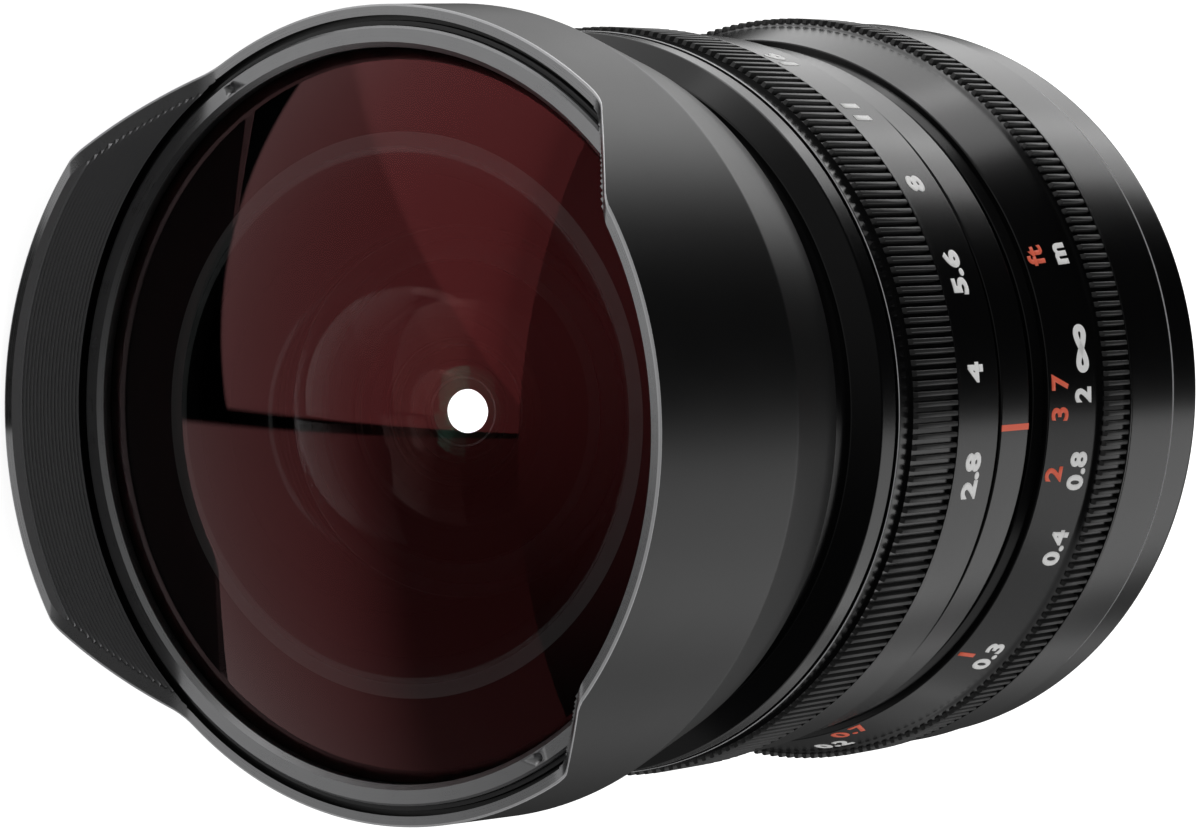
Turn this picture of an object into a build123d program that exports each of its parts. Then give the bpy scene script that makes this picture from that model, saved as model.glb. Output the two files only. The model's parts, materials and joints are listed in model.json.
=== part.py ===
from build123d import *
import os
from math import asin, ceil, cos, degrees, radians, sin, sqrt

# Fisheye lens for a mirrorless camera: petal hood, aperture ring, index ring, focus ring and bayonet.
# The origin is the centre of the mount face, on the optical axis. The lens looks along -Y,
# the index mark is at +Z, and the bayonet stands out behind the mount face, towards +Y.
# "front" distances below are measured from the mount face towards the front of the lens.

os.makedirs("parts", exist_ok=True)

# Fits and gaps
running_clearance = 0.05    # radial, between pieces that turn or slide on each other
seat_clearance = 0.02       # between pieces that are screwed or pushed together
ring_gap = 0.35             # axial, between neighbouring rings
overrun = 1.0               # how far a cutter passes its face

# Barrel lengths, from the mount face to the front
flange_thickness = 1.5
rear_barrel_length = 14.0
focus_ring_length = 13.45
focus_gap = 1.8
index_ring_length = 6.6
aperture_ring_length = 17.8
collar_band = 2.3
collar_slope_length = 2.3
neck_length = 4.45
hood_cone_length = 10.7
hood_band_length = 10.7
petal_height = 9.85

# Barrel radii, each a step from the bearing that the aperture ring turns on
front_rim_radius = 33.4
barrel_step = 0.3
index_ring_wall = 0.8
aperture_ring_wall = 1.5
aperture_grip_rise = 0.45
collar_rise = 1.35
collar_front_drop = 1.95
neck_drop = 0.5
hood_rear_rise = 1.9
hood_edge_swell = 0.3
petal_lean = 0.3
hood_wall = 0.95
spigot_rise = 0.4
focus_ring_wall = 0.75
focus_front_step = 0.6
focus_cone_rise = 1.45
focus_grip_rise = 0.85
rear_barrel_step = 0.25

# Rear barrel and bayonet
rear_taper_length = 5.5
rear_taper_drop = 0.3
rear_edge_round = 0.85
rear_edge_line = 0.18
rear_wall = 1.7
back_wall = 2.3
spigot_wall = 1.9
flange_width = 9.1
bayonet_bore_radius = 20.6
bayonet_wall = 1.3
bayonet_depth = 4.2
bayonet_lug_height = 1.1
bayonet_lug_thickness = 1.3
bayonet_lug_count = 3
bayonet_lug_arc_angle = 46.0
bayonet_lug_angle = 20.0
flange_spigot_wall = 3.6
flange_spigot_length = 2.0
mount_screw_count = 4
mount_screw_angle = 45.0
mount_screw_inset = 6.4
mount_screw_radius = 0.85
mount_screw_head_radius = 1.6
mount_screw_head_depth = 0.9
mount_screw_sink = 0.1
lock_notch_radius = 1.7
lock_notch_depth = 1.1
lock_notch_angle = 78.0
index_dot_radius = 0.6
index_dot_depth = 1.1
baffle_thickness = 1.4
baffle_inset = 0.3
baffle_window_width = 30.0
baffle_window_height = 21.0
baffle_window_corner = 3.0

# Guide sleeve and keys that keep the front unit from turning
sleeve_gap = 0.25
sleeve_wall = 1.4
sleeve_flange_thickness = 1.6
sleeve_screw_count = 3
sleeve_screw_radius = 0.8
sleeve_screw_head_radius = 1.35
sleeve_screw_head_height = 0.9
key_count = 2
key_width = 3.0
key_height = 1.4
key_length = 8.0
key_angle = 90.0

# Focus ring and helicoid
focus_chamfer_drop = 0.5
focus_chamfer_length = 1.1
focus_front_lip = 1.8
focus_front_lip_wall = 2.3
focus_grip_length = 4.55
focus_grip_slope = 0.7
focus_rear_land = 0.35
focus_rear_chamfer = 0.22
focus_tooth_count = 240
focus_tooth_depth = 0.42
focus_crest_share = 0.5
helicoid_ring_length = 6.5
helicoid_wall = 2.0
helicoid_thread_height = 2.6
helicoid_tail = 4.4
focus_pin_count = 3
focus_pin_radius = 1.0
focus_pin_reach = 0.85
focus_pin_sink = 1.0
focus_pin_angle = 30.0
focus_near_angle = 72.0
focus_far_angle = 11.6
stop_margin_angle = 0.8

# Front barrel and aperture ring
barrel_wall = 2.7
barrel_shoulder_wall = 4.2
helicoid_seat_length = 4.4
iris_shoulder_front = 4.25
aperture_front_land = 0.3
aperture_recess_length = 2.15
aperture_recess_drop = 0.35
aperture_grip_length = 7.4
aperture_tooth_count = 228
aperture_tooth_depth = 0.42
aperture_crest_share = 0.5
aperture_open_angle = 7.0
aperture_close_angle = 70.3
index_chamfer = 0.3
index_groove_width = 1.35
index_groove_drop = 0.45
collar_edge_chamfer = 0.15

# Petal hood and its inner light traps
hood_lip_length = 2.15
hood_bore_clearance = 0.05
hood_edge_break = 0.25
petal_half_angle = 35.7
notch_half_angle = 54.0
petal_corner_round = 2.2
petal_corner_rise = 0.2
notch_corner_round = 2.6
petal_land = 1.1
petal_step = 0.3
trap_pitch = 0.5
trap_depth = 0.32
hood_rim_wall = 1.0
rim_groove_width = 0.45
rim_groove_rise = 0.35
rim_groove_depth = 0.9

# Front cell, ring and element
cell_rim_drop = 0.35
cell_rim_wall = 0.4
ring_face_proud = 0.4
ring_ledge = 1.55
ring_overlap = 0.3
ring_length = 2.9
ring_chamfer = 0.22
ring_bevel = 0.45
ring_hole_radius = 0.45
ring_hole_depth = 1.2
ring_hole_angle = 34.0
glass_edge_clearance = 0.05
front_curve_radius = 62.0
front_rear_curve_radius = 24.0
front_centre_thickness = 3.0
front_edge_drop = 1.7
front_edge_thickness = 7.1
seal_inset = 3.2
seal_width = 0.9
seal_height = 0.7
group_wall = 2.4

# Front group: second and third elements and a cemented pair
second_rim_radius = 20.0
second_curve_radius = 36.0
second_rear_curve_radius = 13.5
second_centre_thickness = 1.8
second_vertex_drop = 1.3
second_seat_drop = 9.6
third_rim_radius = 13.5
third_curve_radius = 60.0
third_rear_curve_radius = 14.0
third_edge_thickness = 4.06
third_seat_drop = 8.7
third_centre_thickness = 1.6
pair_rim_radius = 10.0
pair_front_curve_radius = 18.0
pair_inner_curve_radius = 22.0
pair_rear_curve_radius = 40.0
pair_crown_thickness = 7.2
pair_flint_thickness = 1.25
pair_seat_drop = 8.5
cement_gap = 0.03
cell_wall = 2.0
cell_flange_thickness = 1.95
cell_lip_width = 1.2
cell_lip_length = 0.6
lock_ring_width = 1.1
lock_ring_length = 1.4

# Iris
iris_plate_thickness = 1.2
iris_opening_radius = 5.6
iris_lip_width = 3.8
iris_rim_wall = 1.2
iris_web_hub_wall = 1.7
iris_hub_length = 3.9
blade_count = 7
blade_thickness = 0.14
blade_pitch = 0.22
blade_floor_gap = 0.15
blade_width = 5.6
blade_start_angle = 2.0
blade_span_angle = 124.0
blade_close_angle = 20.6
blade_arm_width = 1.6
blade_pin_radius = 0.4
blade_pin_depth = 0.75
pivot_step = 1.8
drive_arm_length = 7.4
drive_pin_inset = 0.65
drive_ring_inner_step = 0.1
drive_ring_wall = 4.7
drive_ring_thickness = 0.8
iris_keeper_width = 1.6
iris_keeper_thickness = 0.6
iris_screw_count = 3
iris_screw_radius = 0.7
iris_screw_head_radius = 1.2
iris_screw_head_height = 0.8
link_width = 3.0
link_thickness = 1.0
link_reach = 0.55
link_angle = 150.0
link_foot_width = 2.6

# Rear group: one single element, two cemented pairs and the last element
rear_cell_wall = 2.5
rear_single_rim_radius = 8.5
rear_single_curve_radius = 25.0
rear_single_thickness = 3.6
rear_single_drop = 0.2
middle_rim_radius = 9.5
middle_front_curve_radius = 20.0
middle_inner_curve_radius = 20.0
middle_rear_curve_radius = 60.0
middle_crown_thickness = 6.2
middle_flint_thickness = 1.4
middle_air = 1.0
back_rim_radius = 11.0
back_front_curve_radius = 40.0
back_inner_curve_radius = 16.0
back_rear_curve_radius = 45.0
back_crown_thickness = 6.8
back_flint_thickness = 1.4
back_air = 3.0
last_rim_radius = 13.0
last_front_curve_radius = 45.0
last_rear_curve_radius = 60.0
last_thickness = 4.8
last_air = 2.2
spacer_wall = 0.8
rear_lock_ring_length = 1.7
rear_lock_slot_width = 1.2
rear_lock_slot_depth = 0.7

# Stations along the axis, worked out from the lengths
rear_barrel_front = flange_thickness + rear_barrel_length
focus_rear = rear_barrel_front + ring_gap
focus_front = focus_rear + focus_ring_length
index_rear = focus_front + focus_gap
index_front = index_rear + index_ring_length
aperture_rear = index_front + ring_gap
aperture_front = aperture_rear + aperture_ring_length
collar_rear = aperture_front + ring_gap
collar_edge = collar_rear + collar_band
collar_front = collar_edge + collar_slope_length
hood_rear = collar_front + neck_length
hood_edge = hood_rear + hood_cone_length
hood_rim = hood_edge + hood_band_length
petal_tip = hood_rim + petal_height

barrel_radius = front_rim_radius + barrel_step
index_ring_radius = barrel_radius + index_ring_wall
aperture_scale_radius = barrel_radius + aperture_ring_wall
aperture_grip_radius = aperture_scale_radius + aperture_grip_rise
collar_radius = barrel_radius + collar_rise
collar_front_radius = collar_radius - collar_front_drop
neck_radius = collar_front_radius - neck_drop
hood_rear_radius = neck_radius + hood_rear_rise
bayonet_barrel_radius = bayonet_bore_radius + bayonet_wall
bayonet_lug_radius = bayonet_barrel_radius + bayonet_lug_height
flange_radius = bayonet_barrel_radius + flange_width
flange_spigot_radius = bayonet_barrel_radius + flange_spigot_wall
mount_screw_circle_radius = bayonet_barrel_radius + mount_screw_inset
back_wall_front = flange_thickness + back_wall
spigot_radius = barrel_radius + spigot_rise
helicoid_bore_radius = spigot_radius - helicoid_thread_height
helicoid_outer_radius = helicoid_bore_radius - running_clearance
helicoid_inner_radius = helicoid_outer_radius - helicoid_wall
sleeve_radius = helicoid_inner_radius - sleeve_gap
sleeve_inner_radius = sleeve_radius - sleeve_wall
focus_bore_radius = spigot_radius + running_clearance
focus_scale_radius = focus_bore_radius + focus_ring_wall
focus_front_radius = focus_scale_radius - focus_front_step
focus_shoulder_radius = focus_scale_radius + focus_cone_rise
focus_grip_radius = focus_shoulder_radius + focus_grip_rise
rear_barrel_radius = focus_grip_radius - rear_barrel_step
helicoid_ring_front = focus_front - focus_front_lip - seat_clearance
helicoid_ring_rear = helicoid_ring_front - helicoid_ring_length
spigot_front = helicoid_ring_rear - ring_gap
focus_pin_front = (focus_rear + spigot_front) / 2
barrel_bore_radius = barrel_radius - barrel_wall
barrel_rear = index_rear + running_clearance * 3
helicoid_front = barrel_rear + helicoid_seat_length
iris_shoulder = index_front + iris_shoulder_front
barrel_front = hood_rear + hood_lip_length + cell_lip_length + cell_flange_thickness
hood_lip_front = hood_rear + hood_lip_length
cell_rear = hood_lip_front + seat_clearance
group_flange_rear = barrel_front + seat_clearance
group_flange_front = group_flange_rear + cell_flange_thickness
ring_face = hood_rim + ring_face_proud
cell_rim = hood_rim - cell_rim_drop
glass_bore_radius = front_rim_radius + glass_edge_clearance
ring_outer_radius = glass_bore_radius + ring_ledge
ring_inner_radius = front_rim_radius - ring_overlap
seal_inner_radius = front_rim_radius - seal_inset
group_bore_radius = second_rim_radius + group_wall
cell_bore_radius = ring_outer_radius + running_clearance
cell_radius = cell_bore_radius + cell_rim_wall
hood_bore_radius = cell_radius + hood_bore_clearance
hood_rim_radius = hood_bore_radius + rim_groove_width + hood_rim_wall
hood_edge_radius = hood_rim_radius + hood_edge_swell
petal_tip_radius = hood_rim_radius - petal_lean
hood_flare = (hood_edge_radius - hood_rear_radius) / hood_cone_length
hood_foot_radius = hood_rear_radius + hood_flare * hood_lip_length - hood_wall
hood_bore_rear = hood_rear + (hood_bore_radius + hood_wall - hood_rear_radius) / hood_flare
ring_rear = ring_face - ring_length
front_edge = ring_face - front_edge_drop
glass_seat = front_edge - front_edge_thickness
aperture_bore_radius = barrel_radius + running_clearance
blade_outer_radius = iris_opening_radius + blade_width
iris_hub_radius = iris_opening_radius + iris_lip_width
pivot_radius = blade_outer_radius + pivot_step
drive_pin_start_radius = pivot_radius - drive_pin_inset
drive_ring_inner_radius = blade_outer_radius + drive_ring_inner_step
drive_ring_radius = drive_ring_inner_radius + drive_ring_wall
rear_cell_radius = last_rim_radius + rear_cell_wall
top_angle = 90


def turned(*points):
    """A solid of revolution about the optical axis from (radius, front distance) points."""
    profile = make_face(Polyline(*[(radius, -front) for radius, front in points], close=True))
    return revolve(profile, axis=Axis.Y)


def tube(inner, outer, rear, front):
    """A plain tube between two stations."""
    return turned((inner, rear), (outer, rear), (outer, front), (inner, front))


def turned_part(start_turn, end_turn, *points):
    """A solid of revolution over part of a turn, angles measured as seen from the front."""
    profile = make_face(Polyline(*[(radius, -front) for radius, front in points], close=True))
    return Rot(0, -end_turn, 0) * revolve(profile, axis=Axis.Y, revolution_arc=end_turn - start_turn)


def station(front):
    """The plane across the axis at a station; its own x and y are the lens's X and Z."""
    return Plane.XZ.offset(front)


def bar_along(radius, rear, front, circle_radius=0.0, turn=0.0):
    """A round bar along the axis at a place on a circle."""
    place = Pos(circle_radius * cos(radians(turn)), circle_radius * sin(radians(turn)))
    return extrude(station(rear) * place * Circle(radius), amount=front - rear)


def bar_across(radius, inner, outer, front, turn):
    """A round bar that points away from the axis, from one radius to another."""
    middle = Pos((inner + outer) / 2, -front, 0)
    return Rot(0, -turn, 0) * middle * Rot(0, 90, 0) * Cylinder(radius, outer - inner)


def evenly(count, first_turn=0.0):
    """Turns of a number of like places round the axis."""
    return [first_turn + 360 * index / count for index in range(count)]


def joined(*pieces):
    """Separate solids kept together as one group."""
    return Compound(children=[piece for piece in pieces])


def sag(curve_radius, height):
    """How far a spherical surface falls behind its vertex at a height from the axis."""
    rise = abs(curve_radius) - sqrt(curve_radius * curve_radius - height * height)
    return rise if curve_radius > 0 else -rise


def height_at_sag(curve_radius, depth):
    """The height at which a spherical surface has fallen by a depth."""
    return sqrt(curve_radius * curve_radius - (curve_radius - depth) * (curve_radius - depth))


def lens_element(front_vertex, front_radius, thickness, rear_radius, rim_radius, rear_flat=None):
    """A glass element. A radius is positive where the surface bulges towards the front.

    With rear_flat, the hollow rear surface ends in a flat ring at that station.
    """
    rear_vertex = front_vertex - thickness
    rear_height = rim_radius
    if rear_flat is not None:
        rear_height = height_at_sag(rear_radius, rear_vertex - rear_flat)

    def surface(vertex, curve_radius, height):
        return (height, -(vertex - sag(curve_radius, height)))

    front_arc = ThreePointArc((0, -front_vertex), surface(front_vertex, front_radius, rim_radius / 2),
                              surface(front_vertex, front_radius, rim_radius))
    rear_arc = ThreePointArc(surface(rear_vertex, rear_radius, rear_height),
                             surface(rear_vertex, rear_radius, rear_height / 2), (0, -rear_vertex))
    edge_points = [front_arc @ 1]
    if rear_flat is not None:
        edge_points.append((rim_radius, -rear_flat))
    edge_points.append(rear_arc @ 0)
    edge = Polyline(*edge_points)
    axis_line = Line(rear_arc @ 1, front_arc @ 0)
    return revolve(make_face([front_arc, edge, rear_arc, axis_line]), axis=Axis.Y)


# Root: bayonet, rear barrel and guide sleeve

def build_mount_bayonet():
    """Flange with its locating spigot, the bayonet barrel and its lugs."""
    body = turned(
        (bayonet_bore_radius, -bayonet_depth), (bayonet_barrel_radius, -bayonet_depth),
        (bayonet_barrel_radius, 0), (flange_radius, 0), (flange_radius, flange_thickness),
        (flange_spigot_radius, flange_thickness),
        (flange_spigot_radius, flange_thickness + flange_spigot_length),
        (bayonet_bore_radius, flange_thickness + flange_spigot_length))
    for turn in evenly(bayonet_lug_count, top_angle + bayonet_lug_angle):
        body += turned_part(
            turn - bayonet_lug_arc_angle / 2, turn + bayonet_lug_arc_angle / 2,
            (bayonet_bore_radius, -bayonet_depth), (bayonet_lug_radius, -bayonet_depth),
            (bayonet_lug_radius, bayonet_lug_thickness - bayonet_depth),
            (bayonet_bore_radius, bayonet_lug_thickness - bayonet_depth))
    for turn in evenly(mount_screw_count, mount_screw_angle):
        body -= bar_along(mount_screw_radius + running_clearance, -overrun, flange_thickness + overrun,
                          mount_screw_circle_radius, turn)
        body -= bar_along(mount_screw_head_radius + running_clearance, -overrun,
                          mount_screw_sink + mount_screw_head_depth + seat_clearance,
                          mount_screw_circle_radius, turn)
    body -= bar_along(lock_notch_radius, -overrun, lock_notch_depth, mount_screw_circle_radius,
                      top_angle - lock_notch_angle)
    body -= bar_across(index_dot_radius + seat_clearance, flange_radius - index_dot_depth - seat_clearance,
                       flange_radius + overrun, flange_thickness / 2, top_angle)
    return body


def build_mount_screws():
    """Screws that hold the bayonet on the rear barrel."""
    screws = []
    for turn in evenly(mount_screw_count, mount_screw_angle):
        head_front = mount_screw_sink + mount_screw_head_depth
        shank = bar_along(mount_screw_radius, head_front, back_wall_front - seat_clearance,
                          mount_screw_circle_radius, turn)
        head = bar_along(mount_screw_head_radius, mount_screw_sink, head_front,
                         mount_screw_circle_radius, turn)
        socket = extrude(
            station(mount_screw_sink - overrun) * Rot(0, 0, turn) * Pos(mount_screw_circle_radius, 0)
            * Rectangle(mount_screw_radius, mount_screw_head_radius),
            amount=overrun + mount_screw_head_depth / 2)
        screws.append(shank + head - socket)
    return joined(*screws)


def build_mount_index_dot():
    """Bead in the flange edge that is lined up with the camera's mark."""
    depth = index_dot_depth
    return bar_across(index_dot_radius, flange_radius - depth, flange_radius, flange_thickness / 2, top_angle)


def build_rear_baffle():
    """Thin plate with a window that shapes the light behind the last element."""
    rear = baffle_inset - bayonet_depth
    plate = tube(0, bayonet_bore_radius - seat_clearance, rear, rear + baffle_thickness)
    window = RectangleRounded(baffle_window_width, baffle_window_height, baffle_window_corner)
    return plate - extrude(station(rear - overrun) * window, amount=baffle_thickness + 2 * overrun)


def build_rear_barrel():
    """Outer barrel behind the focus ring, with its back wall and the spigot the ring turns on."""
    end_radius = rear_barrel_radius - rear_taper_drop
    taper_front = flange_thickness + rear_taper_length
    middle_drop = rear_edge_round * (1 - cos(radians(45)))
    inner = rear_barrel_radius - rear_wall
    line = rear_edge_line
    body = turned(
        (flange_spigot_radius + seat_clearance, flange_thickness),
        (end_radius - rear_edge_round, flange_thickness),
        (end_radius - middle_drop, flange_thickness + middle_drop),
        (end_radius, flange_thickness + rear_edge_round),
        (rear_barrel_radius - line, taper_front), (rear_barrel_radius - line, taper_front + line),
        (rear_barrel_radius, taper_front + 2 * line), (rear_barrel_radius, rear_barrel_front - line),
        (rear_barrel_radius - line, rear_barrel_front), (inner, rear_barrel_front),
        (inner, rear_barrel_front - overrun), (spigot_radius, rear_barrel_front - overrun),
        (spigot_radius, spigot_front), (spigot_radius - spigot_wall, spigot_front),
        (spigot_radius - spigot_wall, back_wall_front),
        (flange_spigot_radius + seat_clearance, back_wall_front))
    for turn in evenly(mount_screw_count, mount_screw_angle):
        body -= bar_along(mount_screw_radius + seat_clearance, flange_thickness - overrun,
                          back_wall_front + overrun, mount_screw_circle_radius, turn)
    for turn in evenly(sleeve_screw_count, top_angle):
        body -= bar_along(sleeve_screw_radius + seat_clearance, flange_thickness + running_clearance,
                          back_wall_front + overrun, sleeve_screw_circle(), turn)
    pin_half_turn = degrees(asin((focus_pin_radius + running_clearance) / focus_pin_tip_radius()))
    for turn in evenly(focus_pin_count, focus_pin_angle):
        body -= turned_part(
            turn - focus_far_angle - stop_margin_angle - pin_half_turn,
            turn + focus_near_angle + stop_margin_angle + pin_half_turn,
            (focus_pin_tip_radius() - running_clearance, focus_pin_front - focus_groove_half()),
            (spigot_radius + overrun, focus_pin_front - focus_groove_half()),
            (spigot_radius + overrun, focus_pin_front + focus_groove_half()),
            (focus_pin_tip_radius() - running_clearance, focus_pin_front + focus_groove_half()))
    return body


def focus_pin_tip_radius():
    """How near the axis the guide pins of the focus ring reach."""
    return spigot_radius - focus_pin_reach


def focus_groove_half():
    """Half the width of the grooves that the guide pins run in."""
    return focus_pin_radius + running_clearance


def sleeve_screw_circle():
    """Radius of the circle of screws through the flange of the guide sleeve."""
    return (sleeve_radius + spigot_radius - spigot_wall) / 2


def sleeve_front():
    """Front end of the guide sleeve, inside the helicoid."""
    return focus_front - focus_front_lip


def build_guide_sleeve():
    """Fixed inner tube that carries the keys."""
    flange_outer = spigot_radius - spigot_wall - running_clearance
    rear = back_wall_front + seat_clearance
    body = turned(
        (sleeve_inner_radius, rear), (flange_outer, rear), (flange_outer, rear + sleeve_flange_thickness),
        (sleeve_radius, rear + sleeve_flange_thickness), (sleeve_radius, sleeve_front()),
        (sleeve_inner_radius, sleeve_front()))
    for turn in evenly(sleeve_screw_count, top_angle):
        body -= bar_along(sleeve_screw_radius + running_clearance, rear - overrun,
                          rear + sleeve_flange_thickness + overrun, sleeve_screw_circle(), turn)
    return body


def build_sleeve_screws():
    """Screws that hold the guide sleeve on the back wall."""
    screws = []
    head_rear = back_wall_front + seat_clearance + sleeve_flange_thickness + seat_clearance
    for turn in evenly(sleeve_screw_count, top_angle):
        shank = bar_along(sleeve_screw_radius, flange_thickness + 2 * running_clearance, head_rear,
                          sleeve_screw_circle(), turn)
        head = bar_along(min(sleeve_screw_head_radius, sleeve_screw_circle() - sleeve_radius
                             - running_clearance), head_rear, head_rear + sleeve_screw_head_height,
                         sleeve_screw_circle(), turn)
        screws.append(shank + head)
    return joined(*screws)


def key_block(width, rear, front, inner, outer, turn):
    """A straight block that stands out from a cylinder, with its faces along the axis."""
    shape = Pos((inner + outer) / 2, 0) * Rectangle(outer - inner, width)
    return extrude(station(rear) * Rot(0, 0, turn) * shape, amount=front - rear)


def build_guide_keys():
    """Keys on the guide sleeve; they run in straight slots of the inner helicoid."""
    front = sleeve_front() - ring_gap
    keys = []
    for turn in evenly(key_count, top_angle + key_angle):
        block = key_block(key_width, front - key_length, front, sleeve_radius - key_height,
                          sleeve_radius + key_height, turn)
        keys.append(block - tube(0, sleeve_radius + seat_clearance, front - key_length - overrun,
                                 front + overrun))
    return joined(*keys)


# Focus ring

def toothed_ring(outer_radius, inner_radius, tooth_depth, tooth_count, crest_share, rear, front):
    """A grip band: straight ridges along the axis with V-shaped grooves between them."""
    pitch_turn = 360 / tooth_count
    points = []
    for turn in evenly(tooth_count, top_angle):
        crest_half = pitch_turn * crest_share / 2
        for radius, offset in ((outer_radius, -crest_half), (outer_radius, crest_half),
                               (outer_radius - tooth_depth, pitch_turn / 2)):
            angle = radians(turn + offset)
            points.append((radius * cos(angle), radius * sin(angle)))
    band = make_face(Polyline(*points, close=True)) - Circle(inner_radius)
    return extrude(station(rear) * band, amount=front - rear)


def build_focus_ring():
    """Focus ring: scale band, shoulder and knurled grip, with the bore that turns on the spigot."""
    grip_rear = focus_rear + focus_rear_land
    grip_front = grip_rear + focus_grip_length
    slope_front = grip_front + focus_grip_slope
    root = focus_grip_radius - focus_tooth_depth - running_clearance
    scale_front = focus_front - focus_chamfer_length
    lip_inner = focus_front_radius - focus_front_lip_wall
    body = turned(
        (focus_bore_radius, focus_rear), (focus_grip_radius - focus_rear_chamfer, focus_rear),
        (focus_grip_radius, focus_rear + focus_rear_chamfer), (focus_grip_radius, grip_rear),
        (root, grip_rear), (root, grip_front), (focus_shoulder_radius, slope_front),
        (focus_scale_radius, scale_front), (focus_front_radius, scale_front + running_clearance),
        (focus_front_radius - focus_chamfer_drop, focus_front), (lip_inner, focus_front),
        (lip_inner, focus_front - focus_front_lip), (focus_bore_radius, focus_front - focus_front_lip))
    body += toothed_ring(focus_grip_radius, root - running_clearance, focus_tooth_depth,
                         focus_tooth_count, focus_crest_share, grip_rear, grip_front)
    for turn in evenly(focus_pin_count, focus_pin_angle):
        body -= bar_across(focus_pin_radius + seat_clearance, focus_bore_radius - overrun,
                           focus_bore_radius + focus_pin_sink + seat_clearance, focus_pin_front, turn)
    return body


def build_helicoid_ring():
    """Threaded ring inside the focus ring that drives the front unit."""
    return tube(helicoid_bore_radius, focus_bore_radius - seat_clearance, helicoid_ring_rear,
                helicoid_ring_front)


def build_focus_guide_pins():
    """Pins that keep the focus ring in place and stop it at both ends of its turn."""
    return joined(*[bar_across(focus_pin_radius, focus_pin_tip_radius(),
                               focus_bore_radius + focus_pin_sink, focus_pin_front, turn)
                    for turn in evenly(focus_pin_count, focus_pin_angle)])


# Front unit: everything that slides forward when the lens focuses closer

def build_inner_helicoid():
    """Tube with the outer thread, slotted inside for the keys."""
    rear = focus_rear - helicoid_tail
    seat_radius = min(helicoid_outer_radius, barrel_bore_radius) - seat_clearance
    body = turned(
        (helicoid_inner_radius, rear), (helicoid_outer_radius, rear),
        (helicoid_outer_radius, barrel_rear - ring_gap), (seat_radius, barrel_rear - ring_gap),
        (seat_radius, helicoid_front), (helicoid_inner_radius, helicoid_front))
    for turn in evenly(key_count, top_angle + key_angle):
        body -= key_block(key_width + 2 * running_clearance, rear - overrun, helicoid_front + overrun,
                          helicoid_inner_radius - overrun,
                          sleeve_radius + key_height + 2 * running_clearance, turn)
    return body


def link_window_turns():
    """Start and end of the barrel window that the aperture link swings in."""
    half_turn = degrees(asin((link_width / 2 + running_clearance * 4) / barrel_bore_radius))
    return (link_angle - aperture_close_angle - stop_margin_angle - half_turn,
            link_angle + aperture_open_angle + stop_margin_angle + half_turn)


def build_front_barrel():
    """Main barrel: bearing for the aperture ring, collar and the neck that carries the hood."""
    edge = collar_edge_chamfer
    body = turned(
        (barrel_bore_radius, barrel_rear), (barrel_radius, barrel_rear), (barrel_radius, collar_rear),
        (collar_radius - edge, collar_rear), (collar_radius, collar_rear + edge),
        (collar_radius, collar_edge), (collar_front_radius, collar_front - edge),
        (neck_radius, collar_front), (neck_radius, barrel_front), (barrel_bore_radius, barrel_front),
        (barrel_bore_radius, iris_shoulder), (barrel_radius - barrel_shoulder_wall, iris_shoulder),
        (barrel_radius - barrel_shoulder_wall, helicoid_front + seat_clearance),
        (barrel_bore_radius, helicoid_front + seat_clearance))
    start_turn, end_turn = link_window_turns()
    body -= turned_part(
        start_turn, end_turn,
        (barrel_bore_radius - overrun, link_rear() - ring_gap), (barrel_radius + overrun, link_rear() - ring_gap),
        (barrel_radius + overrun, link_front() + ring_gap), (barrel_bore_radius - overrun, link_front() + ring_gap))
    for turn in evenly(iris_screw_count, top_angle):
        body -= bar_along(iris_screw_radius + seat_clearance, iris_shoulder - iris_plate_thickness * 2,
                          iris_shoulder + overrun, iris_screw_circle(), turn)
    return body


def iris_screw_circle():
    """Radius of the circle of screws that hold the iris housing on the barrel's shoulder."""
    return (barrel_bore_radius + barrel_radius - barrel_shoulder_wall) / 2


def build_index_ring():
    """Fixed ring with the index mark and a groove in front of it, behind the aperture ring."""
    inner = barrel_radius + seat_clearance
    groove_radius = index_ring_radius - index_groove_drop
    mark_front = index_front - index_groove_width
    return turned(
        (inner, index_rear), (index_ring_radius - index_chamfer, index_rear),
        (index_ring_radius, index_rear + index_chamfer), (index_ring_radius, mark_front - index_chamfer),
        (index_ring_radius - index_chamfer, mark_front), (groove_radius, mark_front),
        (groove_radius, index_front), (inner, index_front))


def notch_outline():
    """Side view of what is cut away between the upper and the lower petal."""
    tip_height = petal_tip_radius * cos(radians(petal_half_angle))
    notch_height = hood_rim_radius * cos(radians(notch_half_angle))
    reach = hood_edge_radius + overrun
    top = petal_tip + petal_corner_rise
    face = make_face(Polyline(
        (-notch_height, hood_rim), (notch_height, hood_rim), (tip_height, top), (reach, top),
        (reach, top + overrun), (-reach, top + overrun), (-reach, top), (-tip_height, top), close=True))
    tips = [vertex for vertex in face.vertices()
            if abs(vertex.Y - top) < seat_clearance and abs(vertex.X) < tip_height + seat_clearance]
    face = fillet(tips, petal_corner_round)
    bottoms = [vertex for vertex in face.vertices() if abs(vertex.Y - hood_rim) < seat_clearance]
    return fillet(bottoms, notch_corner_round)


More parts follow.
